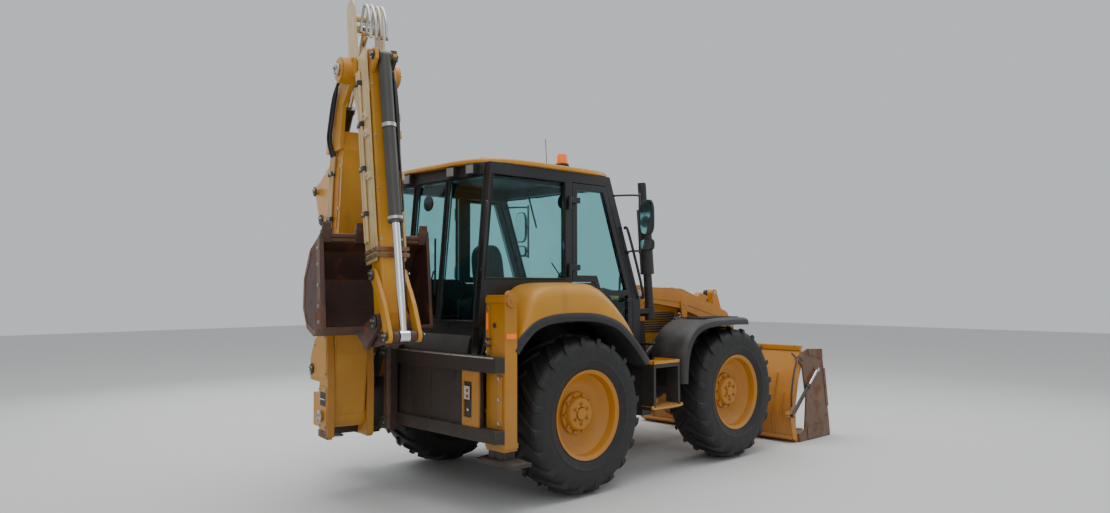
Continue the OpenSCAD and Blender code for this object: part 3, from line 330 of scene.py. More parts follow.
def wovenSeat():
    tree, shader, vector = startMaterial("seatFabric", Roughness=0.9)
    shader.inputs["Sheen Weight"].default_value = 0.3
    weave = addNode(tree, "TexWave", {"wave_type": "BANDS", "bands_direction": "Z"}, Scale=90.0,
                    Distortion=1.5)
    wire(weave, "Vector", vector)
    across = addNode(tree, "TexWave", {"wave_type": "BANDS", "bands_direction": "Y"}, Scale=90.0,
                     Distortion=1.5)
    wire(across, "Vector", vector)
    cloth = mathNode(tree, "MULTIPLY", weave.outputs["Fac"], across.outputs["Fac"])
    wire(shader, "Base Color", mixNode(tree, cloth, (0.035, 0.037, 0.040, 1), (0.12, 0.125, 0.13, 1)))
    addRelief(tree, shader, cloth, 0.4, 0.001)


def glowLens(name, color, rough=0.18, glow=0.0):
    tree, shader, vector = startMaterial(name, Roughness=rough)
    shader.inputs["Transmission Weight"].default_value = 0.35
    shader.inputs["Emission Strength"].default_value = glow
    ribs = addNode(tree, "TexWave", {"wave_type": "BANDS", "bands_direction": "Z"}, Scale=40.0)
    wire(ribs, "Vector", vector)
    tone = mixNode(tree, ribs.outputs["Fac"], tuple(c * 0.8 for c in color[:3]) + (1,), color)
    wire(shader, "Base Color", tone)
    wire(shader, "Emission Color", tone)
    addRelief(tree, shader, ribs.outputs["Fac"], 0.25, 0.002)


def makeMaterials():
    paintedSteel("bodyYellow", (0.50, 0.215, 0.010, 1), (0.60, 0.28, 0.022, 1), streaks=0.35, rust=0.12,
                 wear=0.55)
    # A darker copy of the yellow paint: painted shade of the rear and outward faces, with more streaks, rust
    # and wear
    paintedSteel("shadedYellow", (0.42, 0.165, 0.006, 1), (0.50, 0.215, 0.014, 1), streaks=0.6, rust=0.3,
                 wear=0.8)
    paintedSteel("rimYellow", (0.46, 0.175, 0.004, 1), (0.52, 0.210, 0.008, 1), streaks=0.2, rust=0.15,
                 dust=0.35)
    paintedSteel("loaderOrange", (0.50, 0.175, 0.008, 1), (0.58, 0.245, 0.020, 1), streaks=0.3, rust=0.2,
                 wear=0.8)
    # Pale cream: the yellow paint with a painted sky highlight, partly sun fading
    paintedSteel("fadedSkyLitCream", (0.66, 0.50, 0.27, 1), (0.56, 0.38, 0.16, 1), streaks=0.45, rust=0.3, wear=0.8)
    paintedSteel("frameBlack", (0.014, 0.013, 0.012, 1), (0.03, 0.027, 0.024, 1), rough=0.5, rust=0.25,
                 dust=0.6)
    paintedSteel("cabBlack", (0.010, 0.010, 0.011, 1), (0.018, 0.018, 0.019, 1), rough=0.3, rust=0.0,
                 dust=0.2, streaks=0.1, wear=0.15)
    paintedSteel("stackBlack", (0.012, 0.011, 0.010, 1), rough=0.6, rust=0.25, dust=0.1)
    paintedSteel("castDark", (0.022, 0.020, 0.018, 1), rough=0.7, rust=0.35, dust=0.8, bump=0.4)
    paintedSteel("rustyRail", (0.020, 0.014, 0.010, 1), (0.042, 0.026, 0.017, 1), rough=0.6, rust=0.3,
                 dust=0.3, bump=0.35, wear=0.7, wearColor=(0.20, 0.17, 0.14, 1))
    paintedSteel("wornBucket", (0.115, 0.055, 0.030, 1), (0.19, 0.10, 0.055, 1), rough=0.55, rust=0.6,
                 dust=0.5, bump=0.4, wear=0.8, wearColor=(0.30, 0.25, 0.20, 1))
    paintedSteel("darkBucket", (0.050, 0.021, 0.014, 1), (0.090, 0.040, 0.027, 1), rough=0.55, rust=0.5,
                 dust=0.25, bump=0.4, wear=0.8, wearColor=(0.17, 0.13, 0.11, 1))
    paintedSteel("ramBlack", (0.012, 0.012, 0.013, 1), rough=0.35, rust=0.1, dust=0.3)
    paintedSteel("ramGrey", (0.040, 0.041, 0.036, 1), (0.060, 0.060, 0.052, 1), rough=0.4, rust=0.25,
                 dust=0.2)
    brightMetal("chrome", (0.78, 0.79, 0.81, 1), rough=0.12)
    brightMetal("zincSteel", (0.52, 0.50, 0.46, 1), rough=0.35, tarnish=0.45)
    brightMetal("mirrorFace", (0.85, 0.88, 0.90, 1), rough=0.06, scratch=0.02, tarnish=0.0)
    tintedGlass("tealGlass", (0.50, 0.80, 0.80, 1))
    tyreRubber()
    wovenSeat()
    plainPlastic("blackPlastic", (0.012, 0.012, 0.013, 1))
    plainPlastic("insideGrey", (0.045, 0.047, 0.050, 1), rough=0.6)
    plainPlastic("sealRubber", (0.008, 0.008, 0.008, 1), rough=0.65, dust=0.15)
    plainPlastic("hoseRubber", (0.010, 0.010, 0.011, 1), rough=0.45, grain=500.0, dust=0.2)
    # The amber and red lenses glow; on the reflectors that glow is painted light
    glowLens("amberLens", (0.90, 0.22, 0.02, 1), glow=0.35)
    glowLens("redLens", (0.55, 0.02, 0.02, 1), glow=0.1)
    glowLens("clearLens", (0.42, 0.44, 0.46, 1))


makeMaterials()
print("materials ready:", len(materials))

nodeFinish = {
    "main_frame": "frameBlack", "engine_block": "castDark", "axles": "castDark", "cab_frame": "cabBlack",
    "cab_roof": "bodyYellow", "cab_glass": "tealGlass", "cab_interior": "insideGrey",
    "seat_cushions": "seatFabric", "wheel_guards": "bodyYellow", "side_boxes": "frameBlack",
    # The leg housings take the darker yellow, which paints their shade
    "exhaust_stack": "stackBlack", "rear_rails": "rustyRail", "leg_housings": "shadedYellow",
    "grille": "blackPlastic", "bumper": "frameBlack", "lamps": "blackPlastic", "mirrors": "blackPlastic",
    "hood": "bodyYellow", "door_left": "cabBlack", "door_right": "cabBlack", "door_glass_left": "tealGlass",
    "door_glass_right": "tealGlass", "loader_arms": "loaderOrange", "loader_bucket": "loaderOrange",
    "bucket_clam": "wornBucket", "leg_left": "rustyRail", "leg_right": "rustyRail", "carriage": "rustyRail",
    # The stick takes the pale cream, a painted sky highlight with some sun fading
    "kingpost": "bodyYellow", "boom": "bodyYellow", "stick": "fadedSkyLitCream", "stick_slider": "bodyYellow",
    "side_links": "bodyYellow", "power_link": "darkBucket", "hoe_bucket": "darkBucket",
    "hoe_barrel": "ramGrey", "hoe_rod": "chrome",
}
for name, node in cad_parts.items():
    finish = nodeFinish.get(name)
    if not finish:
        for part, choice in (("knuckle", "castDark"), ("rim", "rimYellow"), ("tyre", "tyreRubber"),
                             ("barrel", "ramBlack"), ("rod", "chrome")):
            if part in name:
                finish = choice
                break
    node.data.materials.clear()
    node.data.materials.append(materials[finish])
print("finishes set on the packed nodes")

# Makers of points and faces; the faces of a prism or a stack run ring by ring
boxFaces = [(0, 3, 2, 1), (4, 5, 6, 7), (0, 1, 5, 4), (1, 2, 6, 5), (2, 3, 7, 6), (3, 0, 4, 7)]


def turns(count):
    return [2 * math.pi * i / count for i in range(count)]


def prismFaces(n):
    return [list(range(n)), list(range(2 * n - 1, n - 1, -1))] + \
        [(i, i + n, (i + 1) % n + n, (i + 1) % n) for i in range(n)]


def ringFaces(rows, sides, loop=False):
    faces = [(j * sides + i, j * sides + (i + 1) % sides, (j + 1) % rows * sides + (i + 1) % sides,
              (j + 1) % rows * sides + i) for j in range(rows if loop else rows - 1) for i in range(sides)]
    ends = [] if loop else [list(range(sides))[::-1], list(range((rows - 1) * sides, rows * sides))]
    return faces + ends


# A square with round corners, as pairs between -1 and 1
def roundSquare(count, power=4):
    pairs = []
    for a in turns(count):
        c, s = math.cos(a), math.sin(a)
        k = 1 / (abs(c) ** power + abs(s) ** power) ** (1 / power)
        pairs.append((c * k, s * k))
    return pairs


def fixNormals(piece):
    shaped = bmesh.new()
    shaped.from_mesh(piece.data)
    bmesh.ops.recalc_face_normals(shaped, faces=shaped.faces)
    shaped.to_mesh(piece.data)
    shaped.free()


def softenByAngle(mesh, sharp):
    shaped = bmesh.new()
    shaped.from_mesh(mesh)
    bmesh.ops.recalc_face_normals(shaped, faces=shaped.faces)
    for edge in shaped.edges:
        edge.smooth = len(edge.link_faces) == 2 and edge.calc_face_angle(0) < math.radians(sharp)
    for face in shaped.faces:
        face.smooth = True
    shaped.to_mesh(mesh)
    shaped.free()


# A collector of closed forms that becomes one mesh object
class Shape:
    def __init__(self, place=None):
        self.verts, self.faces, self.slots, self.names, self.current = [], [], [], [], 0
        self.place = place or axlePlace

    def paint(self, name):
        if name not in self.names:
            self.names.append(name)
        self.current = self.names.index(name)
        return self

    def add(self, verts, faces, turn=None):
        start = len(self.verts)
        move = self.place @ turn if turn else self.place
        self.verts += [move @ Vector(v) for v in verts]
        self.faces += [[start + i for i in face] for face in faces]
        self.slots += [self.current] * len(faces)

    def box(self, corner, opposite, turn=None):
        (a, d), (b, e), (c, f) = (sorted(pair) for pair in zip(corner, opposite))
        self.add([(a, b, c), (d, b, c), (d, e, c), (a, e, c), (a, b, f), (d, b, f), (d, e, f), (a, e, f)],
                 boxFaces, turn)

    def plate(self, outline, y, otherY):
        y, otherY = sorted((y, otherY))
        self.add([(x, y, z) for x, z in outline] + [(x, otherY, z) for x, z in outline],
                 prismFaces(len(outline)))

    # Rings of points, one above the other, closed at both ends or into a loop
    def stack(self, rings, loop=False):
        self.add([point for ring in rings for point in ring], ringFaces(len(rings), len(rings[0]), loop))

    # A turned form: profile pairs are distance along the axis and radius
    def lathe(self, start, toward, profile, sides=32, loop=False):
        start, toward = Vector(start), Vector(toward).normalized()
        side = toward.orthogonal().normalized()
        other = toward.cross(side)
        self.stack([[start + toward * d + (side * math.cos(a) + other * math.sin(a)) * r
                     for a in turns(sides)]
                    for d, r in profile], loop)

    def rod(self, start, end, radius, sides=20, chamfer=0.0):
        start, end = Vector(start), Vector(end)
        length = (end - start).length
        c = min(chamfer, length / 3)
        profile = [(0, radius), (length, radius)] if not c else \
            [(0, radius - c), (c, radius), (length - c, radius), (length, radius - c)]
        self.lathe(start, end - start, profile, sides)

    # A round bar along a smooth path
    def tube(self, points, radius, sides=10, steps=6, smooth=True):
        path = smoothPath(points, steps) if smooth else [Vector(p) for p in points]
        rings, normal = [], None
        for i, point in enumerate(path):
            ahead = (path[min(i + 1, len(path) - 1)] - path[max(i - 1, 0)]).normalized()
            normal = ahead.orthogonal() if normal is None else normal - ahead * normal.dot(ahead)
            normal.normalize()
            other = ahead.cross(normal)
            rings.append([point + (normal * math.cos(a) + other * math.sin(a)) * radius
                          for a in turns(sides)])
        self.stack(rings)

    # A wall of even thickness over a grid of points
    def skin(self, grid, thick):
        rows, cols = len(grid), len(grid[0])
        points = [[Vector(p) for p in row] for row in grid]
        below = []
        for i in range(rows):
            line = []
            for j in range(cols):
                along = points[min(i + 1, rows - 1)][j] - points[max(i - 1, 0)][j]
                over = points[i][min(j + 1, cols - 1)] - points[i][max(j - 1, 0)]
                line.append(points[i][j] - along.cross(over).normalized() * thick)
            below.append(line)
        verts = [p for row in points for p in row] + [p for row in below for p in row]
        half = rows * cols
        faces = []
        for i in range(rows - 1):
            for j in range(cols - 1):
                a, b, c, d = i * cols + j, i * cols + j + 1, (i + 1) * cols + j + 1, (i + 1) * cols + j
                faces += [(a, b, c, d), (d + half, c + half, b + half, a + half)]
        rim = list(range(cols)) + [i * cols + cols - 1 for i in range(1, rows)] + \
            [(rows - 1) * cols + j for j in range(cols - 2, -1, -1)] + \
            [i * cols for i in range(rows - 2, 0, -1)]
        faces += [(rim[k], rim[k] + half, rim[(k + 1) % len(rim)] + half, rim[(k + 1) % len(rim)])
                  for k in range(len(rim))]
        self.add(verts, faces)

    def make(self, name, body, bevel=0.0, replaced=(), slot=None, sharp=32.0, segments=2):
        mesh = bpy.data.meshes.new(name)
        mesh.from_pydata([tuple(v) for v in self.verts], [], self.faces)
        for title in self.names:
            mesh.materials.append(materials[title])
        mesh.polygons.foreach_set("material_index", self.slots)
        softenByAngle(mesh, sharp)
        piece = bpy.data.objects.new(name, mesh)
        bpy.context.collection.objects.link(piece)
        if bevel:
            rounded = piece.modifiers.new("rounded", "BEVEL")
            rounded.width, rounded.segments, rounded.limit_method = bevel, segments, "ANGLE"
            rounded.angle_limit, rounded.harden_normals = math.radians(sharp), True
        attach(piece, body)
        if replaced:
            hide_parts(*replaced)


def smoothPath(points, steps=6):
    points = [Vector(p) for p in points]
    path = []
    for i in range(len(points) - 1):
        a, b = points[i], points[i + 1]
        before, after = points[max(i - 1, 0)], points[min(i + 2, len(points) - 1)]
        for k in range(steps):
            t = k / steps
            path.append(0.5 * ((2 * a) + (b - before) * t + (2 * before - 5 * a + 4 * b - after) * t * t +
                               (3 * a - before - 3 * b + after) * t ** 3))
    return path + [points[-1]]


# Geometry Nodes
def newTree(name, inputs):
    tree = bpy.data.node_groups.new(name, "GeometryNodeTree")
    tree.interface.new_socket("Geometry", in_out="INPUT", socket_type="NodeSocketGeometry")
    for title, kind, value in inputs + [("Material", "Material", None)]:
        socket = tree.interface.new_socket(title, in_out="INPUT", socket_type="NodeSocket" + kind)
        if value is not None:
            socket.default_value = value
    tree.interface.new_socket("Geometry", in_out="OUTPUT", socket_type="NodeSocketGeometry")
    return tree, tree.nodes.new("NodeGroupInput"), tree.nodes.new("NodeGroupOutput")


def closeTree(tree, entry, leave, geometry):
    realize = tree.nodes.new("GeometryNodeRealizeInstances")
    finish = tree.nodes.new("GeometryNodeSetMaterial")
    wire(realize, 0, geometry)
    wire(finish, 0, realize.outputs[0])
    wire(finish, "Material", entry.outputs["Material"])
    wire(leave, 0, finish.outputs[0])


# Repeats the object's own form round an axis through Center
def makeRingTree():
    tree, entry, leave = newTree("ringOfForms",
                                 [("Count", "Int", 8), ("Center", "Vector", None), ("Axis", "Vector", None)])
    line = tree.nodes.new("GeometryNodeMeshLine")
    line.inputs["Offset"].default_value = (0, 0, 0)
    wire(line, "Count", entry.outputs["Count"])
    wire(line, "Start Location", entry.outputs["Center"])
    moved = tree.nodes.new("GeometryNodeTransform")
    flip = addNode(tree, "VectorMath", {"operation": "SCALE"}, Scale=-1)
    wire(flip, 0, entry.outputs["Center"])
    wire(moved, "Geometry", entry.outputs["Geometry"])
    wire(moved, "Translation", flip.outputs[0])
    index = tree.nodes.new("GeometryNodeInputIndex")
    step = mathNode(tree, "DIVIDE", 2 * math.pi, entry.outputs["Count"])
    turn = tree.nodes.new("FunctionNodeAxisAngleToRotation")
    wire(turn, 0, entry.outputs["Axis"])
    wire(turn, 1, mathNode(tree, "MULTIPLY", index.outputs[0], step))
    copies = tree.nodes.new("GeometryNodeInstanceOnPoints")
    wire(copies, "Points", line.outputs[0])
    wire(copies, "Instance", moved.outputs[0])
    wire(copies, "Rotation", turn.outputs[0])
    closeTree(tree, entry, leave, copies.outputs[0])
    return tree


# Repeats the object's own form along a line
def makeRowTree():
    tree, entry, leave = newTree("rowOfForms", [("Count", "Int", 5), ("Step", "Vector", None),
                                                ("Rows", "Int", 1), ("Row Step", "Vector", None)])
    geometry = entry.outputs["Geometry"]
    for count, step in (("Count", "Step"), ("Rows", "Row Step")):
        line = tree.nodes.new("GeometryNodeMeshLine")
        wire(line, "Count", entry.outputs[count])
        wire(line, "Offset", entry.outputs[step])
        copies = tree.nodes.new("GeometryNodeInstanceOnPoints")
        wire(copies, "Points", line.outputs[0])
        wire(copies, "Instance", geometry)
        geometry = copies.outputs[0]
    closeTree(tree, entry, leave, geometry)
    return tree


# Sets a hexagon bolt with its washer on each loose vertex, standing along the vertex's own normal
def makeBoltTree():
    tree, entry, leave = newTree("boltHeads", [("Radius", "Float", 0.012), ("Height", "Float", 0.009)])
    join = tree.nodes.new("GeometryNodeJoinGeometry")
    for sides, wide, tall, lift in ((6, 1.0, 1.0, 0.85), (16, 1.35, 0.25, 0.12)):
        form = tree.nodes.new("GeometryNodeMeshCylinder")
        form.inputs["Vertices"].default_value = sides
        for socket, source, factor in (("Radius", "Radius", wide), ("Depth", "Height", tall)):
            wire(form, socket, mathNode(tree, "MULTIPLY", entry.outputs[source], factor))
        lifted = tree.nodes.new("GeometryNodeTransform")
        shift = tree.nodes.new("ShaderNodeCombineXYZ")
        wire(shift, 2, mathNode(tree, "MULTIPLY", entry.outputs["Height"], lift))
        wire(lifted, "Geometry", form.outputs[0])
        wire(lifted, "Translation", shift.outputs[0])
        wire(join, 0, lifted.outputs[0])
    facing = tree.nodes.new("GeometryNodeInputNamedAttribute")
    facing.data_type = "FLOAT_VECTOR"
    facing.inputs["Name"].default_value = "facing"
    turn = tree.nodes.new("FunctionNodeAlignRotationToVector")
    turn.axis = "Z"
    wire(turn, "Vector", facing.outputs[0])
    copies = tree.nodes.new("GeometryNodeInstanceOnPoints")
    wire(copies, "Points", entry.outputs["Geometry"])
    wire(copies, "Instance", join.outputs[0])
    wire(copies, "Rotation", turn.outputs[0])
    closeTree(tree, entry, leave, copies.outputs[0])
    return tree


# Makes a hose of even thickness along the object's own line of edges
def makeHoseTree():
    tree, entry, leave = newTree("hoseOnPath", [("Radius", "Float", 0.012), ("Sides", "Int", 10)])
    curve = tree.nodes.new("GeometryNodeMeshToCurve")
    ring = tree.nodes.new("GeometryNodeCurvePrimitiveCircle")
    body = tree.nodes.new("GeometryNodeCurveToMesh")
    body.inputs["Fill Caps"].default_value = True
    smooth = tree.nodes.new("GeometryNodeSetShadeSmooth")
    wire(curve, 0, entry.outputs["Geometry"])
    wire(ring, "Resolution", entry.outputs["Sides"])
    wire(ring, "Radius", entry.outputs["Radius"])
    wire(body, "Curve", curve.outputs[0])
    wire(body, "Profile Curve", ring.outputs[0])
    wire(smooth, 0, body.outputs[0])
    closeTree(tree, entry, leave, smooth.outputs[0])
    return tree


ringTree, rowTree, boltTree, hoseTree = makeRingTree(), makeRowTree(), makeBoltTree(), makeHoseTree()


def grow(piece, tree, material, **values):
    grown = piece.modifiers.new("grown", "NODES")
    grown.node_group = tree
    values["Material"] = materials[material]
    for socket in tree.interface.items_tree:
        if socket.in_out == "INPUT" and socket.name in values:
            grown[socket.identifier] = values[socket.name]
    bpy.context.view_layer.update()
    seen = piece.evaluated_get(bpy.context.evaluated_depsgraph_get())
    mesh = bpy.data.meshes.new_from_object(seen)
    piece.modifiers.clear()
    piece.data = mesh


def plainObject(name, verts, edges=(), faces=()):
    mesh = bpy.data.meshes.new(name)
    mesh.from_pydata([tuple(v) for v in verts], list(edges), list(faces))
    piece = bpy.data.objects.new(name, mesh)
    bpy.context.collection.objects.link(piece)
    return piece


def bolts(name, body, spots, place=None, radius=0.012, height=0.009, material="zincSteel"):
    place = place or axlePlace
    piece = plainObject(name, [place @ Vector(spot) for spot, facing in spots])
    facings = piece.data.attributes.new("facing", "FLOAT_VECTOR", "POINT")
    for index, (spot, facing) in enumerate(spots):
        facings.data[index].vector = place.to_3x3() @ Vector(facing)
    grow(piece, boltTree, material, Radius=radius, Height=height)
    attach(piece, body)


def hoses(name, body, paths, place=None, radius=0.012, material="hoseRubber", sides=10, steps=8):
    place = place or axlePlace
    verts, edges = [], []
    for points in paths:
        path = smoothPath(points, steps)
        edges += [(len(verts) + i, len(verts) + i + 1) for i in range(len(path) - 1)]
        verts += [place @ point for point in path]
    piece = plainObject(name, verts, edges)
    grow(piece, hoseTree, material, Radius=radius, Sides=sides)
    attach(piece, body)


def repeated(name, body, verts, faces, tree, material, place=None, **values):
    place = place or axlePlace
    piece = plainObject(name, [place @ Vector(v) for v in verts], (), faces)
    grow(piece, tree, material, **values)
    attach(piece, body)
    return piece


print("shape tools ready")

# Wheels
wheelValues = {"lugCount": 20, "lugBase": 0.074, "sweep": 17.0, "boltCount": 10}


def makeTyre(end, side, x, way):
    v = wheelValues
    center = (x, way * machine["track"] / 2, machine["axleHeight"])
    wall = [(-0.170, 0.3575), (-0.186, 0.388), (-0.204, 0.430), (-0.209, 0.452), (-0.2125, 0.456),
            (-0.2105, 0.462), (-0.213, 0.490), (-0.214, 0.545), (-0.206, 0.590), (-0.185, 0.622),
            (-0.140, 0.640), (-0.070, 0.646)]
    profile = wall + [(0, 0.648)] + [(-y, r) for y, r in reversed(wall)]
    profile += [(0.150, 0.359), (0, 0.3578), (-0.150, 0.359)]
    tyre = Shape().paint("tyreRubber")
    tyre.lathe(center, (0, 1, 0), profile, 96, loop=True)
    tyre.make(f"tyre_{end}_{side}_carcass", f"wheel_{end}_{side}", replaced=[f"tyre_{end}_{side}"], sharp=50)
    # Rows of a lug, from the middle outward: offset, tip and foot radius, width against the foot's
    stations = [(0.006, 0.680, 0.630, 0.60), (0.060, 0.6745, 0.626, 0.85), (0.120, 0.665, 0.620, 1.0),
                (0.178, 0.6545, 0.606, 1.1), (0.202, 0.640, 0.585, 1.15), (0.2095, 0.598, 0.560, 1.0),
                (0.2135, 0.562, 0.545, 0.8)]
    rows, shoulder = len(stations), 0.205
    verts, faces = [], []
    for half in (-1, 1):
        lead = 0 if half > 0 else math.pi / v["lugCount"]
        start = len(verts)
        for y, top, base, wide in stations:
            middle = lead + math.radians(v["sweep"]) * min(y, shoulder) / shoulder
            for r, spread in ((base, 1.25), (top, 1.0), (top, -1.0), (base, -1.25)):
                a = middle + spread * wide * v["lugBase"] / 2 / top * 0.55
                verts.append((center[0] + r * math.cos(a), center[1] + half * y, center[2] + r * math.sin(a)))
        faces += [[start + i for i in face][::half] for face in ringFaces(rows, 4)]
    lugs = repeated(f"tyre_{end}_{side}_lugs", f"wheel_{end}_{side}", verts, faces, ringTree, "tyreRubber",
                    Count=v["lugCount"], Center=tuple(axlePlace @ Vector(center)), Axis=(0, 1, 0))
    fixNormals(lugs)


def makeRim(end, side, x, way):
    v = wheelValues
    body = f"wheel_{end}_{side}"
    center = (x, way * machine["track"] / 2, machine["axleHeight"])
    out = (0, way, 0)
    profile = [(0.029, 0.0), (0.029, 0.230), (0.036, 0.262), (0.058, 0.290), (0.085, 0.312), (0.108, 0.338),
               (0.150, 0.343), (0.172, 0.348), (0.182, 0.362), (0.186, 0.374), (0.190, 0.379), (0.190, 0.381),
               (0.182, 0.381), (0.176, 0.3805), (0.1725, 0.3565), (-0.1725, 0.3565), (-0.176, 0.3805),
               (-0.190, 0.381), (-0.190, 0.376), (-0.174, 0.344), (-0.120, 0.341), (-0.070, 0.318),
               (-0.010, 0.292), (0.005, 0.262), (0.005, 0.0)]
    rim = Shape().paint("rimYellow")
    rim.lathe(center, out, profile, 72)
    rim.lathe(center, out,
              [(0.028, 0.182), (0.050, 0.180), (0.054, 0.174), (0.056, 0.150), (0.088, 0.140), (0.098, 0.130),
               (0.100, 0.060), (0.096, 0.055), (0.028, 0.050)], 48)
    rim.lathe(center, out, [(0.095, 0.052), (0.108, 0.050), (0.112, 0.040), (0.112, 0.001)], 32)
    rim.rod((center[0] + 0.27, center[1] + way * 0.045, center[2] + 0.16),
            (center[0] + 0.275, center[1] + way * 0.085, center[2] + 0.165), 0.006, 10)
    rim.make(f"rim_{end}_{side}_dish", body, replaced=[f"rim_{end}_{side}"], sharp=38)
    spots = [((center[0] + 0.160 * math.cos(a), center[1] + way * 0.051, center[2] + 0.160 * math.sin(a)),
              out)
             for a in turns(v["boltCount"])]
    spots += [((center[0] + 0.082 * math.cos(a), center[1] + way * 0.099, center[2] + 0.082 * math.sin(a)),
               out)
              for a in turns(12)[1::2]]
    bolts(f"rim_{end}_{side}_nuts", body, spots, radius=0.013, height=0.016, material="rimYellow")


for end, x in (("front", machine["wheelbase"]), ("rear", 0.0)):
    for side, way in (("left", 1), ("right", -1)):
        makeTyre(end, side, x, way)
        makeRim(end, side, x, way)
print("wheels ready")

# Roof
roofValues = {"rear": -0.850, "front": 0.795, "halfWidth": 0.828, "base": 2.7905, "edge": 2.832,
              "crown": 2.893, "power": 5.0}


def makeRoof():
    v = roofValues
    middle, half = (v["rear"] + v["front"]) / 2, (v["front"] - v["rear"]) / 2

    def ring(scale, z):
        return [(middle + half * scale * c, v["halfWidth"] * scale * s, z)
                for c, s in roundSquare(64, v["power"])]

    rows = [ring(0.985, v["base"]), ring(1.0, v["base"] + 0.006), ring(1.0, v["edge"] - 0.016),
            ring(0.994, v["edge"] - 0.005)]
    for scale in (0.985, 0.965, 0.93, 0.88, 0.80, 0.68, 0.50, 0.28, 0.05):
        rise = (1 - scale ** 2.6) * (v["crown"] - v["edge"])
        dip = 0.006 * math.exp(-((scale - 0.86) / 0.03) ** 2)
        rows.append(ring(scale, v["edge"] + rise - dip))
    roof = Shape().paint("bodyYellow")
    roof.stack(rows)
    roof.make("roofShell", "chassis", replaced=["cab_roof"], sharp=50)
    ribs = Shape().paint("bodyYellow")
    for y in (-0.45, -0.15, 0.15, 0.45):
        ribs.skin([[(x, y + dy,
                     2.832 + 0.061 * (1 - max(abs((x - middle) / half), abs(y) / v["halfWidth"]) ** 2.6) + up)
                    for dy, up in ((-0.04, 0.0), (-0.028, 0.010), (0.028, 0.010), (0.04, 0.0))]
                   for x in (-0.62, -0.60, -0.40, -0.1, 0.2, 0.45, 0.56, 0.58)], 0.012)
    ribs.make("roofRibs", "chassis", sharp=40)


makeRoof()

# Mudguards
guardValues = {"inner": 0.8003, "sheet": 0.006, "edgeSheet": 0.008, "frontInner": 0.735}


# The direction square to a side-view path at each of its points
def upFrom(path):
    ups = []
    for i in range(len(path)):
        ahead = (path[min(i + 1, len(path) - 1)] - path[max(i - 1, 0)]).normalized()
        ups.append(Vector((-ahead.z, 0, ahead.x)))
    return ups


# A sheet through rows of (point, distance from the middle), on the left or the right
def addSheet(shape, rows, way, thick):
    shape.skin([[(p.x, way * y, p.z) for p, y in row][::way] for row in rows], thick)


def makeRearGuard(side, way):
    v = guardValues
    top = smoothPath([(-0.835, 0, 1.262), (-0.775, 0, 1.400), (-0.700, 0, 1.560), (-0.605, 0, 1.715),
                      (-0.470, 0, 1.785), (-0.200, 0, 1.800), (0.100, 0, 1.785), (0.300, 0, 1.665),
                      (0.470, 0, 1.500), (0.610, 0, 1.300), (0.745, 0, 1.085)], 4)
    lip = smoothPath([(-0.830, 0, 1.248), (-0.760, 0, 1.330), (-0.640, 0, 1.430), (-0.500, 0, 1.478),
                      (-0.340, 0, 1.497), (-0.150, 0, 1.500), (0.050, 0, 1.490), (0.210, 0, 1.460),
                      (0.380, 0, 1.395), (0.560, 0, 1.250), (0.735, 0, 1.070)], 4)
    shell = Shape().paint("bodyYellow")
    turned = ((0.97, 1.065), (0.90, 1.115), (0.78, 1.142), (0.62, 1.154), (0.30, 1.158), (0.0, 1.160))
    rows = [[(a, v["inner"]), (a, 0.90), (a - Vector((0, 0, 0.004)), 1.00)] + [(b + (a - b) * t, y)
                                                                               for t, y in turned]
            for a, b in zip(top, lip)]
    addSheet(shell, rows, way, v["sheet"])
    shell.make(f"rearGuard_{side}", "chassis", sharp=45, replaced=["wheel_guards"])
    edge = Shape().paint("blackPlastic")
    section = ((0.050, 1.152), (0.044, 1.168), (0.020, 1.176), (-0.012, 1.176), (-0.024, 1.166),
               (-0.026, 1.10), (-0.020, 0.86))
    addSheet(edge, [[(b + up * d, y) for d, y in section] for b, up in zip(lip, upFrom(lip))], way,
             v["edgeSheet"])
    edge.make(f"rearGuardLip_{side}", "chassis", sharp=45)


def makeFrontGuard(side, way):
    v = guardValues
    line = smoothPath([(1.275, 0, 0.835), (1.285, 0, 1.000), (1.320, 0, 1.150), (1.400, 0, 1.290),
                       (1.530, 0, 1.385), (1.720, 0, 1.432), (2.000, 0, 1.445), (2.250, 0, 1.445),
                       (2.395, 0, 1.440)], 4)
    section = ((0.030, v["frontInner"]), (0.004, v["frontInner"] + 0.012), (0, 0.78), (0, 1.08),
               (0.006, 1.125), (0.022, 1.152), (0.050, 1.160), (0.075, 1.160))
    guard = Shape().paint("blackPlastic")
    addSheet(guard, [[(p - up * d, y) for d, y in section] for p, up in zip(line, upFrom(line))], way,
             v["edgeSheet"])
    guard.paint("frameBlack")
    guard.box((1.30, way * 0.607, 1.182), (1.38, way * 0.76, 1.202))
    guard.tube([(1.34, way * 0.74, 1.19), (1.50, way * 0.78, 1.30), (1.66, way * 0.82, 1.405)], 0.014)
    guard.make(f"frontGuard_{side}", "chassis", sharp=40)
    rear, front, inner, outer = 1.74, 1.752, way * 0.80, way * 1.07
    slat = [(x, y, z) for z in (1.441, 1.451)
            for x, y in ((rear, inner), (front, inner), (front, outer), (rear, outer))]
    repeated(f"frontGuardTread_{side}", "chassis", slat, boxFaces, rowTree, "blackPlastic", Count=22,
             Step=(0.028, 0, 0))


for side, way in (("left", 1), ("right", -1)):
    makeRearGuard(side, way)
    makeFrontGuard(side, way)
print("roof and mudguards ready")

# Cab
cabValues = {"half": 0.800, "sealRadius": 0.009, "beacon": (0.250, -0.560, 2.8745), "wheelRadius": 0.195,
             "columnTop": (0.640, 0, 1.720), "columnFoot": (0.790, 0, 1.430)}


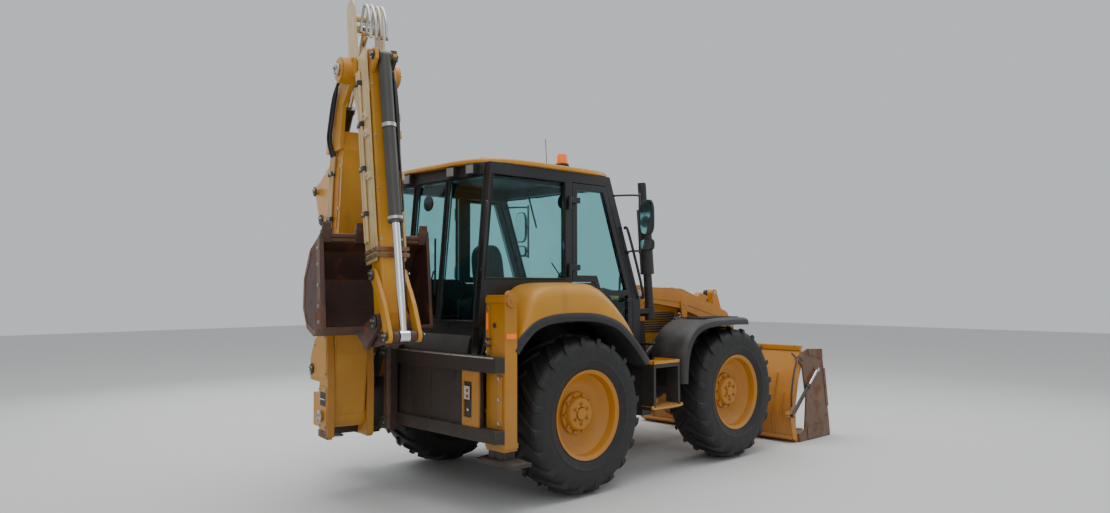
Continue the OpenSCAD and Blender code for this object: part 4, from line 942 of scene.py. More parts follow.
def makeCabTrim():
    trim = Shape().paint("sealRubber")
    r = cabValues["sealRadius"]
    loops = [[(x, s * 0.799, z) for x, z in ((-0.855, 1.835), (-0.772, 2.695), (0.055, 2.695),
                                             (0.055, 1.835))] for s in (-1, 1)]
    loops += [[(-0.917, a, 1.486), (-0.917, b, 1.486), (-0.813, b, 2.674), (-0.813, a, 2.674)]
              for a, b in ((-0.735, -0.265), (-0.219, 0.215), (0.261, 0.735))]
    loops += [[(1.046, -0.735, 1.628), (1.046, 0.735, 1.628), (0.676, 0.735, 2.688), (0.676, -0.735, 2.688)]]
    for loop in loops:
        trim.tube(loop + [loop[0]], r, 8, smooth=False)
    trim.paint("blackPlastic")
    for s in (-1, 1):
        trim.tube([(1.062, s * 0.815, 1.660), (1.050, s * 0.850, 1.720), (0.850, s * 0.850, 2.270),
                   (0.830, s * 0.812, 2.320)], 0.013)
        trim.tube([(-0.905, s * 0.812, 1.900), (-0.900, s * 0.838, 1.950), (-0.862, s * 0.838, 2.400),
                   (-0.858, s * 0.812, 2.450)], 0.012)
    trim.plate([(-0.822, 2.690), (-0.805, 2.789), (-0.780, 2.789), (-0.797, 2.690)], -0.74, 0.74)
    # Rear wiper and windscreen wiper
    trim.tube([(-0.925, 0.02, 1.500), (-0.930, -0.05, 1.560), (-0.905, -0.16, 1.900)], 0.007, smooth=False)
    trim.box((-0.908, -0.185, 1.700), (-0.896, -0.172, 2.180))
    trim.rod((-0.935, 0.02, 1.500), (-0.900, 0.02, 1.500), 0.022, 14, 0.004)
    trim.tube([(1.066, 0.05, 1.600), (1.060, 0.12, 1.680), (0.935, 0.30, 2.020)], 0.007, smooth=False)
    trim.box((0.930, 0.293, 1.820), (0.942, 0.306, 2.180),
             Matrix.Translation((0.43, 0, 0.35)) @ Matrix.Rotation(-0.335, 4, "Y"))
    trim.tube([(0.140, -0.470, 2.870), (0.140, -0.470, 2.900), (0.125, -0.470, 3.130)], 0.0035, 6,
              smooth=False)
    trim.rod((0.140, -0.470, 2.868), (0.140, -0.470, 2.895), 0.016, 12, 0.004)
    trim.make("cabTrim", "chassis", bevel=0.0015, slot="cab_black")


def makeLamps():
    v = cabValues
    lamps = Shape().paint("blackPlastic")
    for x, way in ((-0.835, -1), (0.773, 1)):
        for y in (-0.6, -0.33, 0.33, 0.6):
            lamps.box((x - 0.024, y - 0.055, 2.697), (x + 0.024, y + 0.055, 2.782))
            lamps.box((x - 0.012, y - 0.020, 2.780), (x + 0.012, y + 0.020, 2.7897))
            face = x + way * 0.024
            lamps.paint("clearLens")
            lamps.box((face, y - 0.047, 2.704), (face + way * 0.005, y + 0.047, 2.775))
            lamps.paint("blackPlastic")
    for s in (-1, 1):
        nose = (2.7665, s * 0.330, 0.970)
        lamps.lathe(nose, (1, 0, 0), [(0, 0.062), (0.006, 0.070), (0.030, 0.070), (0.038, 0.066),
                                      (0.038, 0.060), (0.026, 0.058)], 32)
        lamps.paint("clearLens")
        lamps.lathe((2.790, s * 0.330, 0.970), (1, 0, 0),
                    [(0, 0.058), (0.006, 0.058), (0.012, 0.040), (0.014, 0.010)], 32)
        lamps.paint("blackPlastic")
    x, y, z = v["beacon"]
    lamps.lathe((x, y, z), (0, 0, 1),
                [(0, 0.064), (0.004, 0.066), (0.022, 0.066), (0.026, 0.060), (0.030, 0.052)], 36)
    lamps.paint("amberLens")
    lamps.lathe((x, y, z + 0.026), (0, 0, 1),
                [(0, 0.050), (0.004, 0.054), (0.070, 0.052), (0.088, 0.046), (0.096, 0.030),
                 (0.099, 0.008)], 36)
    lamps.make("workLamps", "chassis", bevel=0.004, replaced=["lamps"], segments=3)


def makeMirrors():
    shape = Shape().paint("blackPlastic")
    for s in (-1, 1):
        for z in (2.080, 2.620):
            shape.tube([(0.700 + (2.620 - z) * 0.36, s * 0.806, z), (0.90, s * 0.812, z + 0.02),
                        (1.060, s * 0.812, z + 0.03)], 0.010)
        shape.rod((1.060, s * 0.808, 2.085), (1.060, s * 0.808, 2.675), 0.011, 12, 0.003)
        for low, high in ((2.262, 2.600), (2.110, 2.225)):
            middle, tall = Vector((1.055, s * 0.912, (low + high) / 2)), (high - low) / 2
            shape.stack([[middle + Vector((depth, 0.082 * scale * c, tall * scale * q))
                          for c, q in roundSquare(40)]
                         for depth, scale in ((0.022, 0.55), (0.016, 0.90), (0.0, 1.0), (-0.016, 1.0),
                                              (-0.020, 0.96))])
            shape.paint("mirrorFace")
            pane = [middle + Vector((-0.0205, 0.074 * c, (tall - 0.010) * q)) for c, q in roundSquare(40)]
            shape.add(pane + [p + Vector((-0.0015, 0, 0)) for p in pane], prismFaces(40))
            shape.paint("blackPlastic")
            shape.rod((1.058, s * 0.812, (low + high) / 2), (1.060, s * 0.86, (low + high) / 2), 0.012,
                      12, 0.003)
    shape.make("sideMirrors", "chassis", replaced=["mirrors"], sharp=45)


def makeInterior():
    v = cabValues
    shape = Shape().paint("insideGrey")
    shape.box((-0.110, -0.200, 1.0905), (0.230, 0.200, 1.180))
    for i in range(5):
        fold, z = 0.010 * (i % 2), 1.180 + 0.040 * i
        shape.box((-0.090 - fold, -0.180 - fold, z), (0.210 + fold, 0.180 + fold, z + 0.042))
    shape.box((-0.130, -0.215, 1.380), (0.250, 0.215, 1.4195))
    shape.plate([(-0.858, 1.0905), (-0.640, 1.0905), (-0.640, 1.290), (-0.680, 1.330), (-0.858, 1.330)],
                -0.390, 0.390)
    shape.plate([(0.780, 1.0905), (1.018, 1.0905), (1.018, 1.520), (0.930, 1.560), (0.800, 1.500)],
                -0.230, 0.230)
    shape.plate([(0.830, 1.540), (0.960, 1.565), (1.005, 1.640), (0.960, 1.690), (0.850, 1.660)],
                -0.190, 0.190)
    shape.plate([(-0.200, 1.0905), (0.230, 1.0905), (0.260, 1.560), (0.220, 1.640), (-0.160, 1.640),
                 (-0.200, 1.560)], -0.390, -0.290)
    shape.plate([(-0.180, 1.400), (0.200, 1.400), (0.220, 1.600), (0.180, 1.660), (-0.140, 1.660)],
                0.290, 0.372)
    for y in (-0.335, 0.330):
        shape.rod((0.130, y, 1.64), (0.130, y, 1.74), 0.011, 12)
        shape.lathe((0.130, y, 1.63), (0, 0, 1),
                    [(0, 0.034), (0.012, 0.030), (0.024, 0.026), (0.034, 0.016)], 20)
        shape.lathe((0.130, y, 1.735), (0.1, 0, 1),
                    [(0, 0.014), (0.012, 0.022), (0.060, 0.024), (0.085, 0.020), (0.094, 0.008)], 20)
    foot, top = Vector(v["columnFoot"]), Vector(v["columnTop"])
    shape.rod(foot, top, 0.030, 20, 0.005)
    shape.lathe(foot.lerp(top, 0.45), top - foot,
                [(0, 0.046), (0.02, 0.055), (0.10, 0.055), (0.13, 0.040)], 24)
    for y in (0.17, -0.17):
        shape.rod(foot.lerp(top, 0.70), foot.lerp(top, 0.70) + Vector((-0.02, y, 0.03)), 0.007, 10)
    for y in (-0.330, -0.250, 0.250, 0.330):
        shape.lathe((-0.720, y, 1.325), (0, 0, 1),
                    [(0, 0.040), (0.010, 0.034), (0.020, 0.038), (0.032, 0.028), (0.044, 0.031),
                     (0.060, 0.014)], 20)
        shape.rod((-0.720, y, 1.370), (-0.700, y, 1.590), 0.008, 10)
        shape.lathe((-0.700, y, 1.585), (0.09, 0, 1),
                    [(0, 0.010), (0.010, 0.020), (0.045, 0.022), (0.062, 0.016), (0.068, 0.005)], 20)
    shape.paint("blackPlastic")
    axis = (top - foot).normalized()
    side = Vector((0, 1, 0))
    other = axis.cross(side)
    hub = top + axis * 0.012
    circle = [hub + (side * math.cos(a) + other * math.sin(a)) * v["wheelRadius"]
              for a in turns(48) + [2 * math.pi]]
    shape.tube(circle, 0.0135, 12, smooth=False)
    for a in (math.pi / 2, math.pi * 7 / 6, math.pi * 11 / 6):
        out = side * math.cos(a) + other * math.sin(a)
        shape.tube([hub - axis * 0.018 + out * 0.03, hub - axis * 0.014 + out * 0.10, hub + out * 0.187],
                   0.010, 8)
    shape.lathe(hub - axis * 0.030, axis, [(0, 0.030), (0.010, 0.046), (0.030, 0.046), (0.040, 0.034)], 24)
    knob = hub + side * 0.155 + other * 0.09
    shape.rod(knob, knob + axis * 0.05, 0.011, 12)
    shape.lathe(knob + axis * 0.03, axis, [(0, 0.014), (0.008, 0.024), (0.030, 0.024), (0.038, 0.014)], 20)
    # Inner mirrors, visor rail and speakers in the header
    for y, x, z in ((-0.30, 0.52, 2.60), (0.42, -0.55, 2.56)):
        shape.tube([(x + 0.05, y, 2.72), (x + 0.01, y, z + 0.08), (x, y, z + 0.03)], 0.007, 8)
        shape.lathe((x + 0.012, y, z - 0.01), (-1, 0, 0),
                    [(0, 0.060), (0.006, 0.072), (0.018, 0.074), (0.022, 0.070)], 28)
    for s in (-1, 1):
        shape.plate([(-0.70, 2.66), (0.60, 2.66), (0.66, 2.72), (0.60, 2.785), (-0.70, 2.785)], s * 0.640,
                    s * 0.738)
    shape.box((-0.70, -0.70, 2.770), (0.60, 0.70, 2.7885))
    shape.make("cabFittings", "chassis", bevel=0.004, replaced=["cab_interior"], segments=2, sharp=40)


# Seat pads: crowned closed forms with sewn channels
seatValues = {"length": 0.440, "width": 0.450, "thick": 0.115, "backHeight": 0.620, "backWidth": 0.430,
              "backThick": 0.100, "channels": 4, "channelDepth": 0.010}


def makePad(name, length, width, thick, channels, depth, place):
    around, rings = 56, 9
    verts, faces = [], []
    for sideUp in (1, -1):
        for k in range(rings):
            f = 1 - k / (rings - 0.5)
            for a, (c, s) in zip(turns(around), roundSquare(around, 4.5)):
                pull = 1 - 0.02 * (1 - abs(math.sin(2 * a))) * f
                x, y = length / 2 * f * c * pull, width / 2 * f * s * pull
                z = thick * 0.5 * (1 - f ** 5) ** 0.5 if f < 1 else 0.0
                if sideUp > 0:
                    across, panel = abs(y) / (width / 2), 0.62
                    z += 0.018 * (1 - (x / length * 2) ** 2) * (1 - across ** 2) * (1 - f ** 6)
                    if across < panel:
                        z -= depth * math.exp(-((math.cos(math.pi * channels *
                                                          (x / length + 0.5))) / 0.30) ** 2) * (f < 0.93)
                    z -= depth * 1.2 * math.exp(-((across - panel) / 0.04) ** 2) * (f < 0.93)
                    z += 0.016 * max(0, across - panel) / 0.3 * (1 - f ** 8)
                verts.append((x, y, z * sideUp))
    # Both halves are open where they meet
    shell = ringFaces(rings, around)
    del shell[-2]
    for half, start in ((1, 0), (-1, rings * around)):
        faces += [[start + i for i in face][::half] for face in shell]
    pad = plainObject(name, [axlePlace @ place @ Vector(p) for p in verts], (), faces)
    shaped = bmesh.new()
    shaped.from_mesh(pad.data)
    bmesh.ops.remove_doubles(shaped, verts=shaped.verts, dist=0.0002)
    bmesh.ops.recalc_face_normals(shaped, faces=shaped.faces)
    for face in shaped.faces:
        face.smooth = True
    shaped.to_mesh(pad.data)
    shaped.free()
    pad.data.materials.append(materials["seatFabric"])
    finer = pad.modifiers.new("finer", "SUBSURF")
    finer.levels = finer.render_levels = 1
    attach(pad, "chassis")
    return pad


def makeSeat():
    v = seatValues
    base = makePad("seatCushion", v["length"], v["width"], v["thick"], v["channels"], v["channelDepth"],
                   Matrix.Translation((0.075, 0, 1.481)))
    lean = Matrix.Translation((-0.165, 0, 1.860)) @ Matrix.Rotation(math.radians(-98), 4,
                                                                    "Y") @ Matrix.Rotation(math.pi, 4, "Z")
    back = makePad("seatBackrest", v["backHeight"], v["backWidth"], v["backThick"], 5,
                   v["channelDepth"], lean)
    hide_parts("seat_cushions")


makeCabTrim()
makeLamps()
makeMirrors()
makeInterior()
makeSeat()
print("cab ready")

# Hood and steps
hoodValues = {"half": 0.420, "low": 1.090, "corner": 0.075, "sheet": 0.004, "louvres": 9}


def makeHood():
    v = hoodValues
    stations = [(1.086, 1.700), (1.300, 1.698), (1.700, 1.683), (2.100, 1.662), (2.400, 1.622),
                (2.560, 1.588), (2.640, 1.552), (2.685, 1.510), (2.699, 1.465)]
    grid = []
    for x, top in stations:
        row = [(x, -v["half"], v["low"]), (x, -v["half"], 1.25), (x, -v["half"], top - v["corner"] - 0.02)]
        for k in range(7):
            a = math.pi * k / 12
            row.append((x, -v["half"] + v["corner"] * (1 - math.cos(a)),
                        top - 0.020 - v["corner"] * (1 - math.sin(a))))
        row += [(x, -0.20, top - 0.004), (x, 0, top)]
        row += [(px, -py, pz) for px, py, pz in row[-2::-1]]
        grid.append(row)
    hood = Shape().paint("bodyYellow")
    hood.skin([row[::-1] for row in grid], v["sheet"])
    hood.paint("blackPlastic")
    for s in (-1, 1):
        hood.box((1.46, s * 0.4205 - 0.003, 1.28), (2.24, s * 0.4205 + 0.003, 1.52))
        hood.tube([(1.30, s * 0.424, 1.16), (1.30, s * 0.445, 1.175), (1.30, s * 0.445, 1.245),
                   (1.30, s * 0.424, 1.26)], 0.008, 8)
    hood.paint("frameBlack")
    for y in (-0.25, 0.25):
        hood.rod((1.120, y - 0.040, 1.720), (1.120, y + 0.040, 1.720), 0.015, 18, 0.002)
        hood.rod((1.120, y - 0.062, 1.720), (1.120, y + 0.062, 1.720), 0.010, 14, 0.002)
        hood.box((1.105, y - 0.040, 1.690), (1.135, y + 0.040, 1.720))
    hood.make("hoodShell", "hood", replaced=["hood"], sharp=40)
    for s in (-1, 1):
        y, d = s * 0.4235, s * 0.012
        slat = [(1.475, y, 1.296), (2.225, y, 1.296), (2.225, y + d, 1.288), (1.475, y + d, 1.288),
                (1.475, y, 1.302), (2.225, y, 1.302), (2.225, y + d, 1.294), (1.475, y + d, 1.294)]
        fixNormals(repeated("hoodLouvres_" + ("right" if s < 0 else "left"), "hood", slat, boxFaces, rowTree,
                            "blackPlastic", Count=v["louvres"], Step=(0, 0, 0.0245)))


def makeSteps():
    tread = Shape().paint("bodyYellow")
    for s in (-1, 1):
        inner, outer = s * 0.820, s * 1.130
        tread.box((0.870, inner, 1.040), (1.260, outer, 1.046))
        for x in (0.870, 1.254):
            tread.box((x, inner, 1.040), (x + 0.006, outer, 1.072))
        tread.box((0.870, s * 1.124, 1.040), (1.260, outer, 1.072))
        tread.box((0.864, s * 0.985, 0.650), (1.266, outer, 0.656))
        tread.tube([(0.860, s * 1.128, 0.66), (0.870, s * 1.136, 0.640), (1.25, s * 1.136, 0.640),
                    (1.268, s * 1.128, 0.66)], 0.012, 8)
    tread.make("stepTreads", "chassis", bevel=0.0015)
    # Raised rings that give grip on the upper and the lower step
    for s in (-1, 1):
        for index, (y, z, rows) in enumerate(((0.855, 1.0465, 6), (1.010, 0.6565, 3))):
            verts = [(0.900 + r * math.cos(a), s * y + r * math.sin(a), z + h)
                     for r, h in ((0.015, 0.0), (0.011, 0.007), (0.007, 0.007), (0.007, 0.0))
                     for a in turns(8)]
            fixNormals(repeated(f"stepGrip_{'r' if s < 0 else 'l'}{index}", "chassis", verts,
                                ringFaces(4, 8, True), rowTree, "bodyYellow", Count=9, Step=(0.042, 0, 0),
                                Rows=rows, **{"Row Step": (0, s * 0.045, 0)}))


makeHood()
makeSteps()
print("hood and steps ready")

# Rear frame and stabilizers
rearValues = {"housingRear": -0.960, "housingFront": -0.835, "legSide": 1.060, "halfWidth": 0.1115}


def makeRearUnit():
    v = rearValues
    unit, spots, rear = Shape(), [], v["housingRear"]
    railFace, railLow, railHigh = -1.0205, 0.6705, 1.1045
    for s in (-1, 1):
        inner, outer = s * (v["legSide"] - v["halfWidth"]), s * (v["legSide"] + v["halfWidth"])
        low, high = sorted((inner, outer))
        # Welded bands, top boss and face plates of each housing, in the darker yellow that paints their shade
        unit.paint("shadedYellow")
        for z in (0.520, 1.640):
            unit.box((rear - 0.006, low - 0.006, z), (v["housingFront"] + 0.006, high + 0.006, z + 0.042))
        unit.lathe((-0.8975, outer + s * 0.0005, 1.655), (0, s, 0),
                   [(0, 0.052), (0.010, 0.052), (0.014, 0.048), (0.014, 0.022),
                    (0.020, 0.020), (0.020, 0.002)], 28)
        unit.box((rear - 0.018, s * 0.965, 1.235), (rear - 0.0005, s * 1.000, 1.620))
        unit.box((rear - 0.012, s * 1.090, 0.700), (rear - 0.0005, s * 1.150, 1.080))
        # Amber reflectors whose lens glow is painted light
        unit.paint("amberLens")
        unit.box((rear - 0.024, s * 0.972, 1.430), (rear - 0.018, s * 0.994, 1.560))
        # Reflector on the outer side, its lens glow painted light, and the two latch bars on the rear face
        a, b = outer + s * 0.0005, outer + s * 0.009
        unit.box((-0.945, a, 1.362), (-0.850, b, 1.402))
        unit.paint("castDark")
        a, b = s * 0.958, s * 1.030
        for z in (1.300, 1.352):
            unit.box((rear - 0.030, a, z), (rear - 0.0185, b, z + 0.016))
        unit.lathe((rear + 0.0005, s * 1.050, 1.465), (-1, 0, 0),
                   [(0, 0.021), (0.004, 0.021), (0.006, 0.018), (0.006, 0.003)], 20)
        # Ram on the inner face of the leg, with its valve
        unit.paint("ramBlack")
        unit.rod((-0.905, s * 0.925, 0.720), (-0.905, s * 0.925, 1.560), 0.022, 16, 0.003)
        unit.paint("zincSteel")
        unit.box((-0.930, s * 0.900, 1.560), (-0.880, s * 0.945, 1.600))
        spots += [((rear - 0.018, s * 0.9825, z), (-1, 0, 0)) for z in (1.260, 1.340, 1.600)]
        spots += [((rear - 0.012, s * 1.120, z), (-1, 0, 0)) for z in (0.720, 0.900, 1.060)]
        # Yellow cover plate, in the darker yellow that paints its shade, with a recess that holds the valve
        # of the leg
        unit.paint("shadedYellow")
        a, b = sorted((s * 0.735, s * 0.948))
        unit.box((-1.036, a, railLow), (railFace, b, 0.740))
        unit.box((-1.036, a, 1.020), (railFace, b, railHigh))
        unit.box((-1.036, a, 0.740), (railFace, a + 0.090, 1.020))
        unit.box((-1.036, b - 0.020, 0.740), (railFace, b, 1.020))
        unit.paint("frameBlack")
        unit.box((-1.024, a + 0.091, 0.741), (railFace, b - 0.021, 1.019))
        unit.paint("zincSteel")
        unit.box((-1.044, a + 0.105, 0.880), (-1.0245, b - 0.035, 0.985))
        unit.rod((-1.050, a + 0.125, 0.800), (-1.0245, a + 0.125, 0.800), 0.013, 14, 0.003)
        # Red lenses whose glow is painted light
        unit.paint("redLens")
        for z in (0.905, 0.950):
            unit.rod((-1.049, a + 0.135, z), (-1.0445, a + 0.135, z), 0.013, 14, 0.001)
    # Wear strips along the rails
    unit.paint("zincSteel")
    unit.box((-1.0502, -1.140, 1.214), (-1.046, 1.140, 1.2255))
    unit.paint("rustyRail")
    for y in (-0.62, -0.30, 0.02, 0.36):
        unit.box((-1.023, y, railLow), (railFace, y + 0.012, railHigh))
    unit.paint("frameBlack")
    unit.plate([(-0.985, 1.226), (-0.955, 1.226), (-0.940, 1.330), (-0.900, 1.400), (-0.905, 1.412),
                (-0.952, 1.340)], -0.72, 0.72)
    unit.make("rearUnit", "chassis", bevel=0.0025)
    bolts("rearUnitBolts", "chassis", spots, radius=0.011)
    hoses("rearHoses", "chassis",
          [[(-0.930, s * 0.300 + k, 0.90), (-0.975, s * 0.42 + k, 0.98), (-0.960, s * 0.70, 1.02 + k / 2),
            (-0.935, s * 0.86, 1.20 + k), (-0.915, s * 0.905, 1.50), (-0.905, s * 0.92, 1.575)]
           for s in (-1, 1) for k in (0.0, 0.03)], radius=0.009)


def makeFeet():
    for side, s in (("left", 1), ("right", -1)):
        foot = Shape().paint("rustyRail")
        middle, center = -0.8975, s * 1.075
        foot.stack([[(middle + 0.0945 * f * c, center + 0.2245 * f * q, z) for c, q in roundSquare(40)]
                    for z, f in
                    ((0.3955, 0.93), (0.400, 0.98), (0.410, 1.0), (0.425, 1.0), (0.434, 0.95),
                     (0.440, 0.80))])
        foot.paint("zincSteel")
        foot.rod((middle, s * 0.975, 0.462), (middle, s * 1.145, 0.462), 0.021, 18, 0.003)
        foot.make(f"legFoot_{side}", f"leg_{side}", sharp=40)


makeRearUnit()
makeFeet()

# Loader
loaderValues = {"armInner": 0.505, "armOuter": 0.575, "hose": 0.011, "bucketHalf": 1.115}


def makeLoader():
    v = loaderValues
    arms, spots = Shape(), []
    for s in (-1, 1):
        # Edge plates that stiffen the arm and the cover over the tilt ram's foot
        arms.paint("loaderOrange")
        for y in (v["armInner"] - 0.004, v["armOuter"]):
            a, b = s * y, s * (y + 0.004)
            arms.plate([(1.36, 1.655), (1.40, 1.735), (1.98, 1.712), (2.72, 1.475), (2.70, 1.420),
                        (1.97, 1.600)], a, b)
        a, b = s * v["armInner"], s * v["armOuter"]
        arms.plate([(2.30, 1.655), (2.36, 1.700), (2.50, 1.655), (2.46, 1.600)], a, b)
        # Guide brackets for the hoses on the arm's inner side
        arms.paint("frameBlack")
        for x, z in ((1.55, 1.72), (1.95, 1.735), (2.30, 1.66), (2.60, 1.54)):
            arms.box((x - 0.02, s * 0.488, z - 0.05), (x + 0.02, s * 0.506, z + 0.020))
        arms.paint("zincSteel")
        arms.rod((2.620, a, 1.690), (2.620, s * 0.582, 1.690), 0.020, 16, 0.003)
        spots.append(((2.05, s * 0.590, 1.58), (0, s, 0)))
        spots += [((2.925 + 0.040 * math.cos(a), s * 0.5845, 1.290 + 0.040 * math.sin(a)), (0, s, 0)) for a in
                  (0.5, 2.1, 3.7, 5.3)]
        arms.paint("loaderOrange")
        arms.lathe((2.925, s * 0.5745, 1.290), (0, s, 0),
                   [(0, 0.056), (0.006, 0.056), (0.010, 0.050), (0.010, 0.018)], 28)
    arms.make("loaderArmDetails", "loader_arms", bevel=0.002)
    bolts("loaderArmBolts", "loader_arms", spots, radius=0.010, height=0.008)
    lines = []
    for s in (-1, 1):
        for k in range(3):
            y, up = s * 0.494, 0.024 * k
            lines.append([(1.330, y, 1.66 + up), (1.55, y, 1.690 + up), (1.95, y, 1.690 + up),
                          (2.30, y, 1.620 + up), (2.58, y, 1.515 + up), (2.70, y, 1.470 + up),
                          (2.80, y, 1.36 + up)])
    hoses("loaderHoses", "loader_arms", lines, radius=v["hose"])
    loops = []
    for s in (-1, 1):
        for k in range(3):
            loops.append([(1.150, s * 0.455, 1.30 + 0.03 * k), (1.165, s * 0.452, 1.62),
                          (1.175, s * 0.448, 1.80 + 0.03 * k), (1.255, s * 0.449, 1.862 + 0.03 * k),
                          (1.335, s * 0.452, 1.79 + 0.02 * k), (1.345, s * 0.456, 1.690 + 0.02 * k)])
    hoses("towerHoses", "chassis", loops, radius=v["hose"])
    tower = Shape().paint("loaderOrange")
    for s in (-1, 1):
        for y in (0.607, 0.4625):
            a, b = s * y, s * (y + 0.010)
            tower.plate([(1.170, 1.420), (1.160, 1.640), (1.205, 1.778), (1.298, 1.778), (1.336, 1.700),
                         (1.362, 1.420)], a, b)
        tower.paint("zincSteel")
        tower.rod((1.250, s * 0.617, 1.700), (1.250, s * 0.640, 1.700), 0.034, 24, 0.004)
        tower.paint("loaderOrange")
        tower.lathe((1.250, s * 0.616, 1.700), (0, s, 0),
                    [(0, 0.058), (0.008, 0.058), (0.012, 0.052), (0.012, 0.034)], 28)
    tower.make("towerDetails", "chassis", bevel=0.002)


# The back of the bucket, with its ears trimmed flush inside
def makeBucketBack():
    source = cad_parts["loader_bucket"]
    mesh = source.data.copy()
    mesh.transform(source.matrix_world)
    joined = bmesh.new()
    joined.from_mesh(mesh)
    bmesh.ops.remove_doubles(joined, verts=joined.verts, dist=0.00001)
    joined.to_mesh(mesh)
    joined.free()
    piece = bpy.data.objects.new("bucketBack", mesh)
    bpy.context.collection.objects.link(piece)
    room = Shape()
    room.plate([(3.4890, 0.900), (3.4260, 0.752), (3.3360, 0.476), (3.3170, 0.255), (3.3605, 0.080),
                (3.620, 0.080), (3.620, 0.900)],
               -1.080, 1.080)
    tool = plainObject("bucketRoom", room.verts, (), room.faces)
    fixNormals(tool)
    cut = piece.modifiers.new("cut", "BOOLEAN")
    cut.operation, cut.object, cut.solver = "DIFFERENCE", tool, "EXACT"
    bpy.context.view_layer.update()
    piece.data = bpy.data.meshes.new_from_object(piece.evaluated_get(bpy.context.evaluated_depsgraph_get()))
    piece.modifiers.clear()
    bpy.data.objects.remove(tool)
    softenByAngle(piece.data, 32.0)
    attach(piece, "loader_bucket")
    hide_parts("loader_bucket")


def makeLoaderBucket():
    v = loaderValues
    half = v["bucketHalf"]
    back = Shape().paint("loaderOrange")
    back.rod((3.330, -half + 0.02, 0.060), (3.330, half - 0.02, 0.060), 0.022, 14, 0.003)
    back.tube([(3.514, -half + 0.005, 1.080), (3.514, half - 0.005, 1.080)], 0.010, 10, smooth=False)
    for s in (-1, 1):
        back.lathe((3.110, s * 0.564, 0.270), (0, s, 0),
                   [(0, 0.036), (0.010, 0.036), (0.014, 0.030), (0.014, 0.004)], 22)
    back.make("bucketBackDetails", "loader_bucket", bevel=0.002)
    rib = [(3.280, -half + 0.10, 0.30), (3.274, -half + 0.10, 0.44), (3.304, -half + 0.10, 0.56),
           (3.330, -half + 0.10, 0.56), (3.312, -half + 0.10, 0.44), (3.306, -half + 0.10, 0.30)]
    fixNormals(repeated("bucketRibs", "loader_bucket", rib + [(x, y + 0.012, z) for x, y, z in rib],
                        prismFaces(6), rowTree, "loaderOrange", Count=9, Step=(0, 0.2525, 0)))
    front = Shape().paint("wornBucket")
    for s in (-1, 1):
        a, b = s * 1.140, s * 1.1485
        front.plate([(3.60, 0.10), (3.62, 0.16), (4.06, 0.16), (4.115, 0.06), (4.12, 0.012), (3.62, 0.012)],
                    a, b)
        front.plate([(3.640, 1.043), (3.960, 1.028), (3.975, 0.930), (3.930, 0.930), (3.650, 0.975)], a, b)
        front.plate([(4.02, 0.80), (4.055, 0.60), (4.095, 0.35), (4.05, 0.35), (4.01, 0.60), (3.975, 0.80)],
                    a, b)
        front.lathe((3.500, s * 1.1525, 0.950), (0, s, 0),
                    [(0, 0.036), (0.008, 0.036), (0.012, 0.030), (0.012, 0.004)], 22)
    front.paint("zincSteel")
    front.box((3.900, -1.125, 0.0005), (4.135, 1.125, 0.012))
    front.make("bucketClamDetails", "bucket_clam", bevel=0.002)
    spots = [((3.95, -1.0 + 0.2222 * i, 0.030), (0, 0, 1)) for i in range(10)]
    bolts("cuttingEdgeBolts", "bucket_clam", spots, radius=0.016, height=0.010)
    lines = [[(3.240, s * 1.155, 0.420), (3.26, s * 1.150, 0.60), (3.34, s * 1.135, 0.80),
              (3.42, s * 1.12, 0.93), (3.44, s * 1.05, 1.00)]
             for s in (-1, 1)]
    hoses("clamHoses", "loader_bucket", lines, radius=0.010)


makeLoader()
makeBucketBack()
makeLoaderBucket()
print("rear unit and loader ready")

# Hoe, in its own plane: u outward, w to its right, z up
hoeValues = {"lean": 9.3, "nose": (0.690, 3.500), "boomHalf": 0.130, "channelOut": 0.120,
             "bucketHalf": 0.450, "hose": 0.010, "line": 0.0095}


def onStick(s, t, w=0.0):
    lean = math.radians(hoeValues["lean"])
    u, z = hoeValues["nose"]
    return (u + s * math.sin(lean) + t * math.cos(lean), w, z - s * math.cos(lean) + t * math.sin(lean))


def stickOutline(pairs):
    return [onStick(s, t)[::2] for s, t in pairs]


# A strip of even width that follows a line of points, toward its right side
def ribbon(points, width):
    inner = []
    for i, point in enumerate(points):
        before, after = Vector(points[max(i - 1, 0)]), Vector(points[min(i + 1, len(points) - 1)])
        along = (after - before).normalized()
        inner.append((point[0] + along.y * width, point[1] - along.x * width))
    return list(points) + inner[::-1]


# A round cap with a ring of studs where a pin ends
def pinCap(shape, spots, u, z, w, radius, height, paint="castDark"):
    s = 1 if w > 0 else -1
    shape.paint(paint)
    shape.lathe((u, w, z), (0, s, 0),
                [(0, radius), (height * 0.6, radius), (height, radius * 0.88), (height, radius * 0.30),
                 (height * 0.7, radius * 0.26), (height * 0.7, 0.002)], 28)
    for k in range(3):
        a = 2 * math.pi * k / 3 + 0.5
        spots.append(((u + radius * 0.6 * math.cos(a), w + s * height, z + radius * 0.6 * math.sin(a)),
                      (0, s, 0)))


